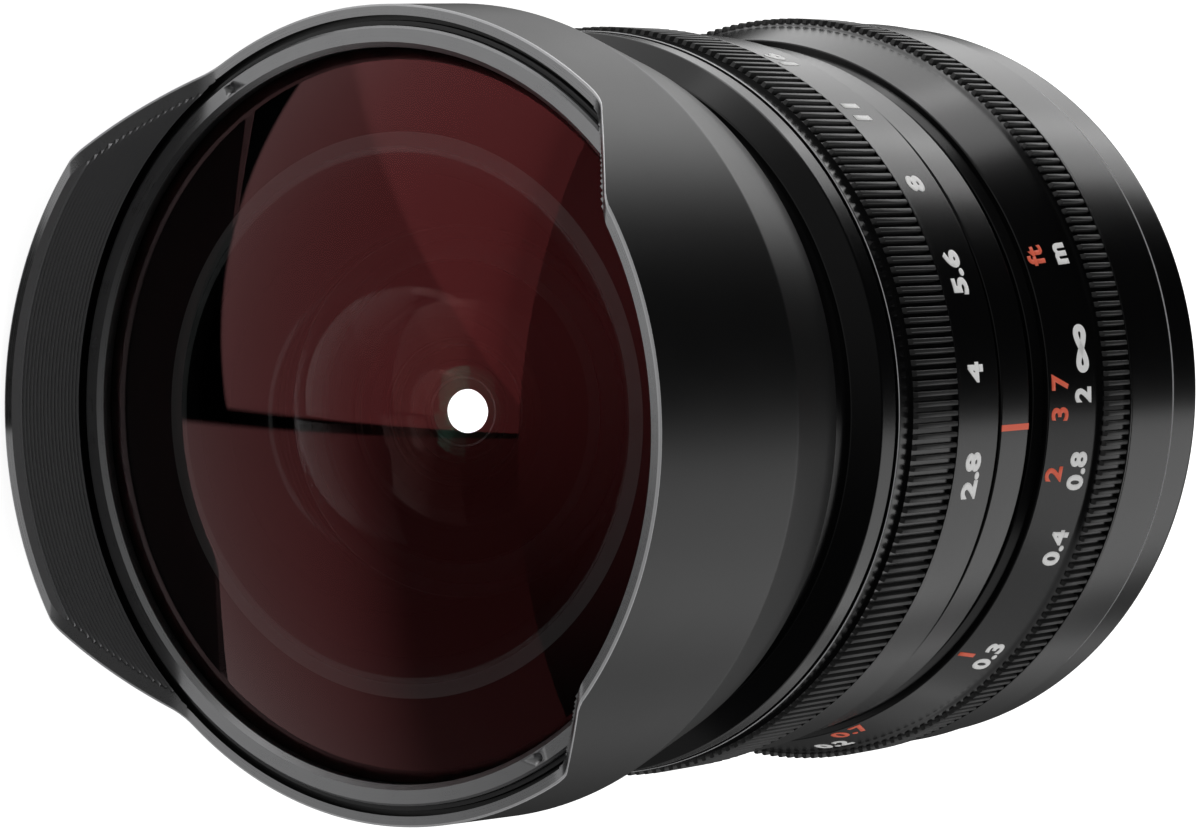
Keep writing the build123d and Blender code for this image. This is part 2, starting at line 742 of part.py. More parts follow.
def build_petal_hood():
    """Hood with two long petals, light traps on their inside and the cone behind them."""
    edge = hood_edge_break
    tip_inner = petal_tip_radius - hood_wall
    step_inner = tip_inner - petal_step
    trap_top = petal_tip - petal_land
    trap_end = hood_rim + rim_groove_rise
    trap_count = ceil((trap_top - trap_end) / trap_pitch)
    pitch = (trap_top - trap_end) / trap_count
    groove_radius = hood_bore_radius + rim_groove_width
    groove_floor = hood_rim - rim_groove_depth
    points = [
        (neck_radius + seat_clearance, hood_rear), (hood_rear_radius - edge, hood_rear),
        (hood_rear_radius, hood_rear + edge), (hood_edge_radius, hood_edge),
        (petal_tip_radius, petal_tip - edge), (petal_tip_radius - edge, petal_tip),
        (tip_inner, petal_tip), (tip_inner, trap_top)]
    for index in range(trap_count):
        front = trap_top - index * pitch
        points.append((step_inner, front))
        points.append((step_inner + trap_depth, front - pitch))
    points += [
        (groove_radius, trap_end), (groove_radius, groove_floor),
        (hood_bore_radius, groove_floor), (hood_bore_radius, hood_bore_rear),
        (hood_foot_radius, hood_lip_front),
        (neck_radius + seat_clearance, hood_lip_front)]
    body = turned(*points)
    side_view = Plane(origin=(0, 0, 0), x_dir=(0, 0, 1), z_dir=(1, 0, 0))
    return body - extrude(side_view * notch_outline(), amount=hood_edge_radius + overrun, both=True)


def build_front_cell():
    """Cup inside the hood that holds the front element and clamps the hood on the neck."""
    body = turned(
        (neck_radius + seat_clearance, cell_rear), (hood_foot_radius - hood_bore_clearance, cell_rear),
        (cell_radius, hood_bore_rear), (cell_radius, cell_rim), (cell_bore_radius, cell_rim), (cell_bore_radius, ring_rear - ring_gap),
        (glass_bore_radius, ring_rear - ring_gap), (glass_bore_radius, glass_seat),
        (group_bore_radius, glass_seat), (group_bore_radius, group_flange_front + seat_clearance),
        (neck_radius + seat_clearance, group_flange_front + seat_clearance))
    return body - tube(seal_inner_radius - seat_clearance, seal_inner_radius + seal_width + seat_clearance,
                       glass_seat - seal_height - seat_clearance, glass_seat + overrun)


def build_front_seal():
    """Seal under the front element."""
    return tube(seal_inner_radius, seal_inner_radius + seal_width, glass_seat - seal_height,
                glass_seat - seat_clearance)


def build_front_retaining_ring():
    """Ring round the front element, with two holes for a pin wrench."""
    foot_radius = front_rim_radius + glass_edge_clearance
    surface_rise = sag(front_curve_radius, front_rim_radius) - sag(front_curve_radius, ring_inner_radius)
    body = turned(
        (foot_radius, ring_rear), (ring_outer_radius, ring_rear),
        (ring_outer_radius, ring_face - ring_chamfer), (ring_outer_radius - ring_chamfer, ring_face),
        (ring_inner_radius + ring_bevel, ring_face), (ring_inner_radius, ring_face - ring_bevel),
        (ring_inner_radius, front_edge + surface_rise + running_clearance),
        (foot_radius, front_edge + running_clearance))
    hole_circle = (ring_inner_radius + ring_bevel + ring_outer_radius - ring_chamfer) / 2
    for turn in evenly(2, ring_hole_angle):
        body -= bar_along(ring_hole_radius, ring_face - ring_hole_depth, ring_face + overrun, hole_circle, turn)
    return body


def front_vertex():
    """Foremost point of the front element."""
    return front_edge + sag(front_curve_radius, front_rim_radius)


def build_front_element():
    """Large front meniscus."""
    return lens_element(front_vertex(), front_curve_radius, front_centre_thickness,
                        front_rear_curve_radius, front_rim_radius, glass_seat + seat_clearance)


def second_vertex():
    """Foremost point of the second element."""
    return glass_seat - second_vertex_drop


def second_seat():
    """Ledge that the second element sits on."""
    return second_vertex() - second_seat_drop


def third_seat():
    """Ledge that the third element sits on."""
    return second_seat() - third_seat_drop


def pair_seat():
    """Ledge that the front cemented pair sits on."""
    return third_seat() - pair_seat_drop


def second_edge():
    """Front of the second element's edge."""
    return second_vertex() - sag(second_curve_radius, second_rim_radius)


def third_edge():
    """Front of the third element's edge."""
    return third_seat() + third_edge_thickness


def third_vertex():
    """Foremost point of the third element."""
    return third_edge() + sag(third_curve_radius, third_rim_radius)


def pair_flint_vertex():
    """Foremost point of the rear glass of the front pair."""
    ledge_radius = pair_rim_radius + running_clearance - cell_lip_width
    rear_vertex = pair_seat() - sag(pair_rear_curve_radius, ledge_radius) + seat_clearance
    return rear_vertex + pair_flint_thickness


def pair_crown_vertex():
    """Foremost point of the front glass of the front pair."""
    return pair_flint_vertex() + cement_gap + pair_crown_thickness


def pair_edge():
    """Front of the front pair's edge."""
    return pair_crown_vertex() - sag(pair_front_curve_radius, pair_rim_radius)


def build_second_element():
    """Second meniscus, under the front element."""
    return lens_element(second_vertex(), second_curve_radius, second_centre_thickness,
                        second_rear_curve_radius, second_rim_radius, second_seat() + seat_clearance)


def build_third_element():
    """Third meniscus."""
    return lens_element(third_vertex(), third_curve_radius, third_centre_thickness,
                        third_rear_curve_radius, third_rim_radius, third_seat() + seat_clearance)


def build_front_pair_crown():
    """Front glass of the cemented pair before the iris."""
    return lens_element(pair_crown_vertex(), pair_front_curve_radius, pair_crown_thickness,
                        -pair_inner_curve_radius, pair_rim_radius)


def build_front_pair_flint():
    """Rear glass of the cemented pair before the iris."""
    return lens_element(pair_flint_vertex(), -pair_inner_curve_radius, pair_flint_thickness,
                        -pair_rear_curve_radius, pair_rim_radius)


def build_front_group_cell():
    """Stepped tube that carries the elements between the front element and the iris."""
    second_bore = second_rim_radius + running_clearance
    third_bore = third_rim_radius + running_clearance
    pair_bore = pair_rim_radius + running_clearance
    tube_top = group_bore_radius - running_clearance * 2
    flange_radius_here = neck_radius
    lip_rear = pair_seat() - cell_lip_length
    return turned(
        (pair_bore - cell_lip_width, lip_rear), (pair_bore + cell_wall, lip_rear),
        (pair_bore + cell_wall, third_seat() - cell_wall), (third_bore + cell_wall, third_seat() - cell_wall / 2),
        (third_bore + cell_wall, second_seat() - cell_wall), (tube_top, second_seat() - cell_wall / 2),
        (tube_top, group_flange_rear), (flange_radius_here, group_flange_rear),
        (flange_radius_here, group_flange_front), (tube_top, group_flange_front),
        (tube_top, second_edge() + lock_ring_length + ring_gap), (second_bore, second_edge() + lock_ring_length + ring_gap),
        (second_bore, second_seat()), (third_bore, second_seat()), (third_bore, third_seat()),
        (pair_bore, third_seat()), (pair_bore, pair_seat()), (pair_bore - cell_lip_width, pair_seat()))


def lock_ring(rim_radius, edge_front):
    """Thin threaded ring that locks an element in its bore."""
    return tube(rim_radius - lock_ring_width, rim_radius, edge_front + seat_clearance,
                edge_front + seat_clearance + lock_ring_length)


def build_second_element_ring():
    """Lock ring of the second element."""
    inner_edge = second_vertex() - sag(second_curve_radius, second_rim_radius - lock_ring_width)
    return lock_ring(second_rim_radius, inner_edge)


def build_third_element_ring():
    """Lock ring of the third element."""
    inner_edge = third_vertex() - sag(third_curve_radius, third_rim_radius - lock_ring_width)
    return lock_ring(third_rim_radius, inner_edge)


def build_front_pair_ring():
    """Lock ring of the front cemented pair."""
    inner_edge = pair_crown_vertex() - sag(pair_front_curve_radius, pair_rim_radius - lock_ring_width)
    return lock_ring(pair_rim_radius, inner_edge)


# Iris: housing, seven blades, drive ring and the link to the aperture ring

def iris_floor():
    """Front face of the plate that the blades lie on."""
    return iris_shoulder + seat_clearance + iris_plate_thickness


def drive_ring_rear():
    """Rear face of the drive ring, in front of the blades."""
    return iris_floor() + blade_floor_gap + blade_count * blade_pitch


def drive_ring_front():
    """Front face of the drive ring."""
    return drive_ring_rear() + drive_ring_thickness


def keeper_front():
    """Front face of the ring that keeps the drive ring in the housing."""
    return drive_ring_front() + running_clearance + iris_keeper_thickness


def link_rear():
    """Rear face of the arm that joins the drive ring and the aperture ring."""
    return keeper_front() + ring_gap


def link_front():
    """Front face of that arm."""
    return link_rear() + link_thickness


def blade_ratio():
    """How far a blade turns for each degree of the aperture ring, with opposite sense."""
    return -blade_close_angle / (aperture_open_angle + aperture_close_angle)


def blade_pivot_turns():
    """Where the blade pivots stand round the axis."""
    return evenly(blade_count, top_angle)


def turned_about(point, centre, turn):
    """A point of the station plane turned about a centre, by degrees as seen from the front."""
    x, y = point[0] - centre[0], point[1] - centre[1]
    c, s = cos(radians(turn)), sin(radians(turn))
    return (centre[0] + x * c - y * s, centre[1] + x * s + y * c)


def drive_pin_open():
    """Place of a drive pin with the iris open and the pivot on the x axis of the station plane."""
    reach = (pivot_radius ** 2 + drive_pin_start_radius ** 2 - drive_arm_length ** 2)
    angle_cos = reach / (2 * pivot_radius * drive_pin_start_radius)
    angle_sin = -sqrt(1 - angle_cos ** 2)
    return (drive_pin_start_radius * angle_cos, drive_pin_start_radius * angle_sin)


def drive_pin_at(aperture_turn):
    """Place of that pin when the aperture ring is turned away from rest."""
    from_open = blade_ratio() * (aperture_turn - aperture_open_angle)
    return turned_about(drive_pin_open(), (pivot_radius, 0), from_open)


def cam_slot(pivot_turn):
    """Slot of the drive ring: the path of a drive pin as the ring sees it."""
    first = aperture_open_angle + stop_margin_angle
    last = -aperture_close_angle - stop_margin_angle
    steps = 8
    points = []
    for index in range(steps + 1):
        aperture_turn = first + (last - first) * index / steps
        place = turned_about(drive_pin_at(aperture_turn), (0, 0), pivot_turn - aperture_turn)
        points.append(place)
    width = 2 * (blade_pin_radius + running_clearance)
    path = Spline(*points)
    ends = [Pos(*points[0]) * Circle(width / 2), Pos(*points[-1]) * Circle(width / 2)]
    return trace(path, width) + ends[0] + ends[1]


def build_iris_drive_ring():
    """Ring with seven curved cam slots that swing the blades."""
    rear = drive_ring_rear()
    body = tube(drive_ring_inner_radius, drive_ring_radius, rear, drive_ring_front())
    for pivot_turn in blade_pivot_turns():
        body -= extrude(station(rear - overrun) * cam_slot(pivot_turn), amount=drive_ring_thickness + 2 * overrun)
    return body


def build_iris_housing():
    """Plate with the blade pivots, the rim round the drive ring and the hub for the rear cell."""
    rear = iris_shoulder + seat_clearance
    rim_inner = drive_ring_radius + running_clearance
    rim_outer = rim_inner + iris_rim_wall
    hub_inner = rear_cell_radius + running_clearance
    hub_outer = hub_inner + iris_web_hub_wall
    body = turned(
        (iris_hub_radius, rear), (hub_inner, rear), (hub_inner, rear - iris_hub_length),
        (hub_outer, rear - iris_hub_length), (hub_outer, rear),
        (barrel_bore_radius - seat_clearance, rear), (barrel_bore_radius - seat_clearance, iris_floor()),
        (rim_outer, iris_floor()), (rim_outer, keeper_front()), (rim_inner, keeper_front()),
        (rim_inner, iris_floor()), (iris_hub_radius, iris_floor()))
    body += tube(iris_opening_radius, iris_hub_radius, iris_floor() - iris_plate_thickness / 2, iris_floor())
    for turn in blade_pivot_turns():
        body -= bar_along(blade_pin_radius + running_clearance, iris_floor() - blade_pin_depth - running_clearance,
                          iris_floor() + overrun, pivot_radius, turn)
    for turn in evenly(iris_screw_count, top_angle):
        body -= bar_along(iris_screw_radius + running_clearance, rear - overrun, iris_floor() + overrun,
                          iris_screw_circle(), turn)
    return body


def build_iris_screws():
    """Screws that hold the iris housing in the barrel."""
    screws = []
    head_rear = iris_floor() + seat_clearance
    for turn in evenly(iris_screw_count, top_angle):
        shank = bar_along(iris_screw_radius, iris_shoulder - iris_plate_thickness, head_rear,
                          iris_screw_circle(), turn)
        room = barrel_bore_radius - iris_screw_circle() - running_clearance
        head = bar_along(min(iris_screw_head_radius, room), head_rear, head_rear + iris_screw_head_height,
                         iris_screw_circle(), turn)
        screws.append(shank + head)
    return joined(*screws)


def build_iris_keeper():
    """Thin ring that keeps the drive ring in the housing."""
    rim_inner = drive_ring_radius + running_clearance
    return tube(rim_inner - iris_keeper_width, rim_inner - seat_clearance,
                drive_ring_front() + running_clearance, keeper_front())


def blade_face():
    """Plan of an open blade, with its pivot on the x axis of the station plane."""
    start, span = blade_start_angle, blade_span_angle
    end = start + span
    inner_radius, outer_radius = iris_opening_radius, blade_outer_radius

    def place(radius, turn):
        return (radius * cos(radians(turn)), radius * sin(radians(turn)))

    inner_arc = CenterArc((0, 0), inner_radius, start, span)
    outer_arc = CenterArc((0, 0), outer_radius, start, span)
    crescent = make_face([
        inner_arc, Line(place(inner_radius, end), place(outer_radius, end)), outer_arc,
        Line(place(outer_radius, start), place(inner_radius, start))])
    pin = drive_pin_open()
    arm_middle = ((pin[0] + pivot_radius) / 2, pin[1] / 2)
    arm_turn = degrees(asin(-pin[1] / drive_arm_length))
    arm_angle = arm_turn if pin[0] < pivot_radius else 180 - arm_turn
    arm = Pos(*arm_middle) * Rot(0, 0, arm_angle) * SlotCenterToCenter(drive_arm_length, blade_arm_width)
    root_radius = blade_outer_radius - blade_arm_width
    root_turn = start + degrees(blade_arm_width / blade_outer_radius)
    root = place(root_radius, root_turn)
    root_middle = ((root[0] + pivot_radius) / 2, root[1] / 2)
    root_length = sqrt((root[0] - pivot_radius) ** 2 + root[1] ** 2)
    root_angle = -degrees(asin(root[1] / root_length))
    neck = Pos(*root_middle) * Rot(0, 0, root_angle) * SlotCenterToCenter(root_length, 2 * blade_arm_width)
    pivot_eye = Pos(pivot_radius, 0) * Circle(blade_arm_width / 2 + blade_thickness)
    return crescent + arm + (neck - Pos(pivot_radius, 0) * Circle(0.01 * blade_arm_width)) + pivot_eye


def build_iris_blade(index):
    """One blade with its pivot pin behind it and its drive pin in front of it."""
    pivot_turn = blade_pivot_turns()[index]
    rear = iris_floor() + blade_floor_gap + index * blade_pitch
    rest_turn = -blade_ratio() * aperture_open_angle
    to_rest = Pos(pivot_radius, 0) * Rot(0, 0, rest_turn) * Pos(-pivot_radius, 0)
    plan = Rot(0, 0, pivot_turn) * to_rest
    sheet = extrude(station(rear) * plan * blade_face(), amount=blade_thickness)
    pivot_rear = iris_floor() - blade_pin_depth
    pivot_pin = extrude(station(pivot_rear) * plan * Pos(pivot_radius, 0) * Circle(blade_pin_radius),
                        amount=rear + blade_thickness / 2 - pivot_rear)
    drive_front = drive_ring_front() - running_clearance
    drive_rear = rear + blade_thickness / 2
    drive_pin = extrude(station(drive_rear) * plan * Pos(*drive_pin_open()) * Circle(blade_pin_radius),
                        amount=drive_front - drive_rear)
    return sheet + pivot_pin + drive_pin


def build_aperture_link():
    """Arm from the drive ring to the aperture ring, through the window of the barrel."""
    foot_inner = drive_ring_inner_radius
    foot_outer = drive_ring_radius - iris_keeper_width - running_clearance * 2
    arm = key_block(link_width, link_rear(), link_front(), foot_inner,
                    aperture_bore_radius + link_reach, link_angle)
    foot = key_block(link_foot_width, drive_ring_front() + seat_clearance, link_front(), foot_inner,
                     foot_outer, link_angle)
    return arm + foot


def build_aperture_ring():
    """Aperture ring: front land, sloped recess, knurled grip and scale band."""
    grip_front = aperture_front - aperture_front_land - aperture_recess_length
    grip_rear = grip_front - aperture_grip_length
    root = aperture_grip_radius - aperture_tooth_depth - running_clearance
    edge = rear_edge_line
    body = turned(
        (aperture_bore_radius, aperture_rear), (aperture_scale_radius - edge, aperture_rear),
        (aperture_scale_radius, aperture_rear + edge), (aperture_scale_radius, grip_rear - edge),
        (aperture_grip_radius, grip_rear - edge), (aperture_grip_radius, grip_rear), (root, grip_rear),
        (root, grip_front), (aperture_scale_radius - aperture_recess_drop, grip_front),
        (aperture_scale_radius - aperture_recess_drop / 2, aperture_front - aperture_front_land),
        (aperture_scale_radius, aperture_front - aperture_front_land),
        (aperture_scale_radius, aperture_front - edge / 2),
        (aperture_scale_radius - edge / 2, aperture_front), (aperture_bore_radius, aperture_front))
    body += toothed_ring(aperture_grip_radius, root - running_clearance, aperture_tooth_depth,
                         aperture_tooth_count, aperture_crest_share, grip_rear, grip_front)
    notch = key_block(link_width + 2 * seat_clearance, link_rear() - seat_clearance,
                      aperture_front + overrun, aperture_bore_radius - overrun,
                      aperture_bore_radius + link_reach + seat_clearance, link_angle)
    return body - notch


# Rear group

def rear_cell_front():
    """Front face of the rear cell, against the iris plate."""
    return iris_shoulder


def rear_single_vertex():
    """Foremost point of the single element behind the iris."""
    return rear_cell_front() - rear_single_drop


def middle_vertex():
    """Foremost point of the middle pair."""
    return rear_single_vertex() - rear_single_thickness - middle_air


def middle_flint_vertex():
    """Foremost point of the rear glass of the middle pair."""
    return middle_vertex() - middle_crown_thickness - cement_gap


def back_vertex():
    """Foremost point of the back pair."""
    return middle_flint_vertex() - middle_flint_thickness - back_air


def back_flint_vertex():
    """Foremost point of the rear glass of the back pair."""
    return back_vertex() - back_crown_thickness - cement_gap


def last_vertex():
    """Foremost point of the last element."""
    return back_flint_vertex() - back_flint_thickness - last_air


def build_rear_single_element():
    """Element directly behind the iris."""
    return lens_element(rear_single_vertex(), rear_single_curve_radius, rear_single_thickness,
                        -rear_single_curve_radius, rear_single_rim_radius)


def build_middle_pair_crown():
    """Front glass of the middle pair."""
    return lens_element(middle_vertex(), middle_front_curve_radius, middle_crown_thickness,
                        -middle_inner_curve_radius, middle_rim_radius)


def build_middle_pair_flint():
    """Rear glass of the middle pair."""
    return lens_element(middle_flint_vertex(), -middle_inner_curve_radius, middle_flint_thickness,
                        -middle_rear_curve_radius, middle_rim_radius)


def build_back_pair_crown():
    """Front glass of the back pair."""
    return lens_element(back_vertex(), back_front_curve_radius, back_crown_thickness,
                        -back_inner_curve_radius, back_rim_radius)


def build_back_pair_flint():
    """Rear glass of the back pair."""
    return lens_element(back_flint_vertex(), -back_inner_curve_radius, back_flint_thickness,
                        -back_rear_curve_radius, back_rim_radius)


def build_last_element():
    """Last element, in front of the mount."""
    return lens_element(last_vertex(), last_front_curve_radius, last_thickness,
                        -last_rear_curve_radius, last_rim_radius)


def rear_edges():
    """Stations of the edges that the spacers and the cell ledges meet, front to rear."""
    single = rear_single_vertex() - sag(rear_single_curve_radius, rear_single_rim_radius)
    single_rear = rear_single_vertex() - rear_single_thickness + sag(rear_single_curve_radius,
                                                                     rear_single_rim_radius)
    middle = middle_vertex() - sag(middle_front_curve_radius, middle_rim_radius)
    middle_rear = middle_flint_vertex() - middle_flint_thickness + sag(middle_rear_curve_radius,
                                                                       middle_rim_radius)
    back = back_vertex() - sag(back_front_curve_radius, back_rim_radius)
    back_rear = back_flint_vertex() - back_flint_thickness + sag(back_rear_curve_radius, back_rim_radius)
    last = last_vertex() - sag(last_front_curve_radius, last_rim_radius)
    last_rear = last_vertex() - last_thickness + sag(last_rear_curve_radius, last_rim_radius)
    return single, single_rear, middle, middle_rear, back, back_rear, last, last_rear


def rear_steps():
    """Stations where the bore of the rear cell widens, front to rear."""
    single, single_rear, middle, middle_rear, back, back_rear, last, last_rear = rear_edges()
    return ((single_rear + middle) / 2, (middle_rear + back) / 2, (back_rear + last) / 2)


def build_rear_group_cell():
    """Stepped tube behind the iris."""
    step_one, step_two, step_three = rear_steps()
    rear_end = last_vertex() - last_thickness - rear_lock_ring_length / 2
    single_bore = rear_single_rim_radius + running_clearance
    middle_bore = middle_rim_radius + running_clearance
    back_bore = back_rim_radius + running_clearance
    last_bore = last_rim_radius + running_clearance
    lip = single_bore - cell_lip_length
    lip_rear = rear_single_vertex() - sag(rear_single_curve_radius, lip) + seat_clearance
    return turned(
        (lip, rear_cell_front()), (lip, lip_rear), (single_bore, lip_rear),
        (single_bore, step_one), (middle_bore, step_one), (middle_bore, step_two), (back_bore, step_two),
        (back_bore, step_three), (last_bore, step_three), (last_bore, rear_end),
        (rear_cell_radius, rear_end), (rear_cell_radius, rear_cell_front()))


def stepped_spacer(front_rim, rear_rim, front, step, rear):
    """A spacer that fills both bores at a step of the cell."""
    inner = front_rim - spacer_wall
    return turned(
        (inner, front - seat_clearance), (front_rim, front - seat_clearance), (front_rim, step - seat_clearance),
        (rear_rim, step - seat_clearance), (rear_rim, rear + seat_clearance), (inner, rear + seat_clearance))


def build_spacer(index):
    """Spacer between two of the rear cell's groups."""
    single, single_rear, middle, middle_rear, back, back_rear, last, last_rear = rear_edges()
    step_one, step_two, step_three = rear_steps()
    places = (
        (rear_single_rim_radius, middle_rim_radius, rear_single_curve_radius, single_rear, step_one,
         middle_front_curve_radius, middle),
        (middle_rim_radius, back_rim_radius, middle_rear_curve_radius, middle_rear, step_two,
         back_front_curve_radius, back),
        (back_rim_radius, last_rim_radius, back_rear_curve_radius, back_rear, step_three,
         last_front_curve_radius, last))
    front_rim, rear_rim, front_curve, front, step, rear_curve, rear = places[index]
    inner = front_rim - spacer_wall
    front_rise = sag(front_curve, front_rim) - sag(front_curve, inner)
    rear_rise = sag(rear_curve, rear_rim) - sag(rear_curve, inner)
    return stepped_spacer(front_rim, rear_rim, front - front_rise, step, rear + rear_rise)


def build_rear_retaining_ring():
    """Threaded ring that locks the rear group, with two wrench slots."""
    last_rear = rear_edges()[-1]
    inner = last_rim_radius - lock_ring_width
    rise = sag(last_rear_curve_radius, last_rim_radius) - sag(last_rear_curve_radius, inner)
    front = last_rear - rise - seat_clearance
    body = tube(inner, last_rim_radius, front - rear_lock_ring_length, front)
    for turn in evenly(2):
        body -= key_block(rear_lock_slot_width, front - rear_lock_ring_length - overrun,
                          front - rear_lock_ring_length + rear_lock_slot_depth, inner - overrun,
                          last_rim_radius + overrun, turn)
    return body


NODES = {
    "mount_bayonet": build_mount_bayonet,
    "mount_screws": build_mount_screws,
    "mount_index_dot": build_mount_index_dot,
    "rear_baffle": build_rear_baffle,
    "rear_barrel": build_rear_barrel,
    "guide_sleeve": build_guide_sleeve,
    "sleeve_screws": build_sleeve_screws,
    "guide_keys": build_guide_keys,
    "focus_ring": build_focus_ring,
    "helicoid_ring": build_helicoid_ring,
    "focus_guide_pins": build_focus_guide_pins,
    "inner_helicoid": build_inner_helicoid,
    "front_barrel": build_front_barrel,
    "index_ring": build_index_ring,
    "petal_hood": build_petal_hood,
    "front_cell": build_front_cell,
    "front_seal": build_front_seal,
    "front_retaining_ring": build_front_retaining_ring,
    "front_element": build_front_element,
    "front_group_cell": build_front_group_cell,
    "second_element": build_second_element,
    "second_element_ring": build_second_element_ring,
    "third_element": build_third_element,
    "third_element_ring": build_third_element_ring,
    "front_pair_crown": build_front_pair_crown,
    "front_pair_flint": build_front_pair_flint,
    "front_pair_ring": build_front_pair_ring,
    "iris_housing": build_iris_housing,
    "iris_screws": build_iris_screws,
    "iris_keeper": build_iris_keeper,
    "iris_drive_ring": build_iris_drive_ring,
    "aperture_link": build_aperture_link,
    "aperture_ring": build_aperture_ring,
    "rear_group_cell": build_rear_group_cell,
    "rear_single_element": build_rear_single_element,
    "middle_pair_crown": build_middle_pair_crown,
    "middle_pair_flint": build_middle_pair_flint,
    "back_pair_crown": build_back_pair_crown,
    "back_pair_flint": build_back_pair_flint,
    "last_element": build_last_element,
    "rear_retaining_ring": build_rear_retaining_ring,
}

for node, build in NODES.items():
    export_step(build(), f"parts/{node}.step")

for blade in range(blade_count):
    export_step(build_iris_blade(blade), f"parts/iris_blade_{blade + 1}.step")

for spacer in range(3):
    export_step(build_spacer(spacer), f"parts/rear_spacer_{spacer + 1}.step")
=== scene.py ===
"""Fisheye lens with a petal hood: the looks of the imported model, its marks, its glass and the studio."""
import json
import logging
import math
from dataclasses import dataclass, field
from enum import Enum
from functools import partial
from typing import Callable, Iterable, Sequence

import bmesh
import bpy
from mathutils import Matrix, Vector


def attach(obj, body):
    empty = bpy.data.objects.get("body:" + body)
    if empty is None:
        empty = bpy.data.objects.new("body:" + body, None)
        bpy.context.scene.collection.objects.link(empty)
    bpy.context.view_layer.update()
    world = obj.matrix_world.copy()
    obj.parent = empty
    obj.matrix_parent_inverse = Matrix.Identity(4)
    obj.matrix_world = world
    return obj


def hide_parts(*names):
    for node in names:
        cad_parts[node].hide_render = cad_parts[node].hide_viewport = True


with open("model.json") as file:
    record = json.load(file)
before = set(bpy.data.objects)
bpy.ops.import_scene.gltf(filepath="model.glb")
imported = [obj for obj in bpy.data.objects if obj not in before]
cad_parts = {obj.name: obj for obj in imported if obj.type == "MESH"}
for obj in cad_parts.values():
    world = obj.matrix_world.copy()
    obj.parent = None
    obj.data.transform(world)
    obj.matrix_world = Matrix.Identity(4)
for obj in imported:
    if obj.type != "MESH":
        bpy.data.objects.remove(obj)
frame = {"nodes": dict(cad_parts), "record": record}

LOG = logging.getLogger("fisheye_lens")
MM = 0.001
TOP_TURN = 90.0
Color = Corner = Line = tuple[float, float, float]


class Body(Enum):
    """Moving bodies of the lens that dressed pieces ride on."""

    MOUNT = "mount"
    FOCUS = "focus"
    FRONT = "front_unit"
    APERTURE = "aperture"


# Node trees shared by several materials

def new_socket(tree: bpy.types.NodeTree, name: str, kind: str, output: bool = False,
               default: object = None) -> None:
    """Add one named socket to a node group.

    Args:
        tree: The group.
        name: Name of the socket.
        kind: Socket type, such as NodeSocketFloat.
        output: True for an output.
        default: Value that the socket starts from.
    """
    item = tree.interface.new_socket(name=name, in_out="OUTPUT" if output else "INPUT", socket_type=kind)
    if default is not None:
        item.default_value = default


def set_inputs(tree: bpy.types.NodeTree, node: bpy.types.Node, inputs: dict[str | int, object]) -> None:
    """Fill inputs of a node, by name or number, with values or with sockets to link from."""
    for label, value in inputs.items():
        if isinstance(value, bpy.types.NodeSocket):
            tree.links.new(value, node.inputs[label])
        else:
            node.inputs[label].default_value = value


def add_node(tree: bpy.types.NodeTree, kind: str, inputs: dict[str | int, object] | None = None,
             **settings: object) -> bpy.types.Node:
    """Add a node, set it up and fill its inputs.

    Args:
        tree: Tree that gets the node.
        kind: Node type, such as ShaderNodeMix.
        inputs: Values or sockets by input name or number.
        settings: Properties of the node.

    Returns:
        The node.
    """
    node = tree.nodes.new(kind)
    for label, value in settings.items():
        setattr(node, label, value)
    set_inputs(tree, node, inputs or {})
    return node


def math_node(tree: bpy.types.NodeTree, operation: str, *values: object) -> bpy.types.NodeSocket:
    """Add a math node with numbers or sockets as its values and return its output."""
    return add_node(tree, "ShaderNodeMath", dict(enumerate(values)), operation=operation).outputs[0]


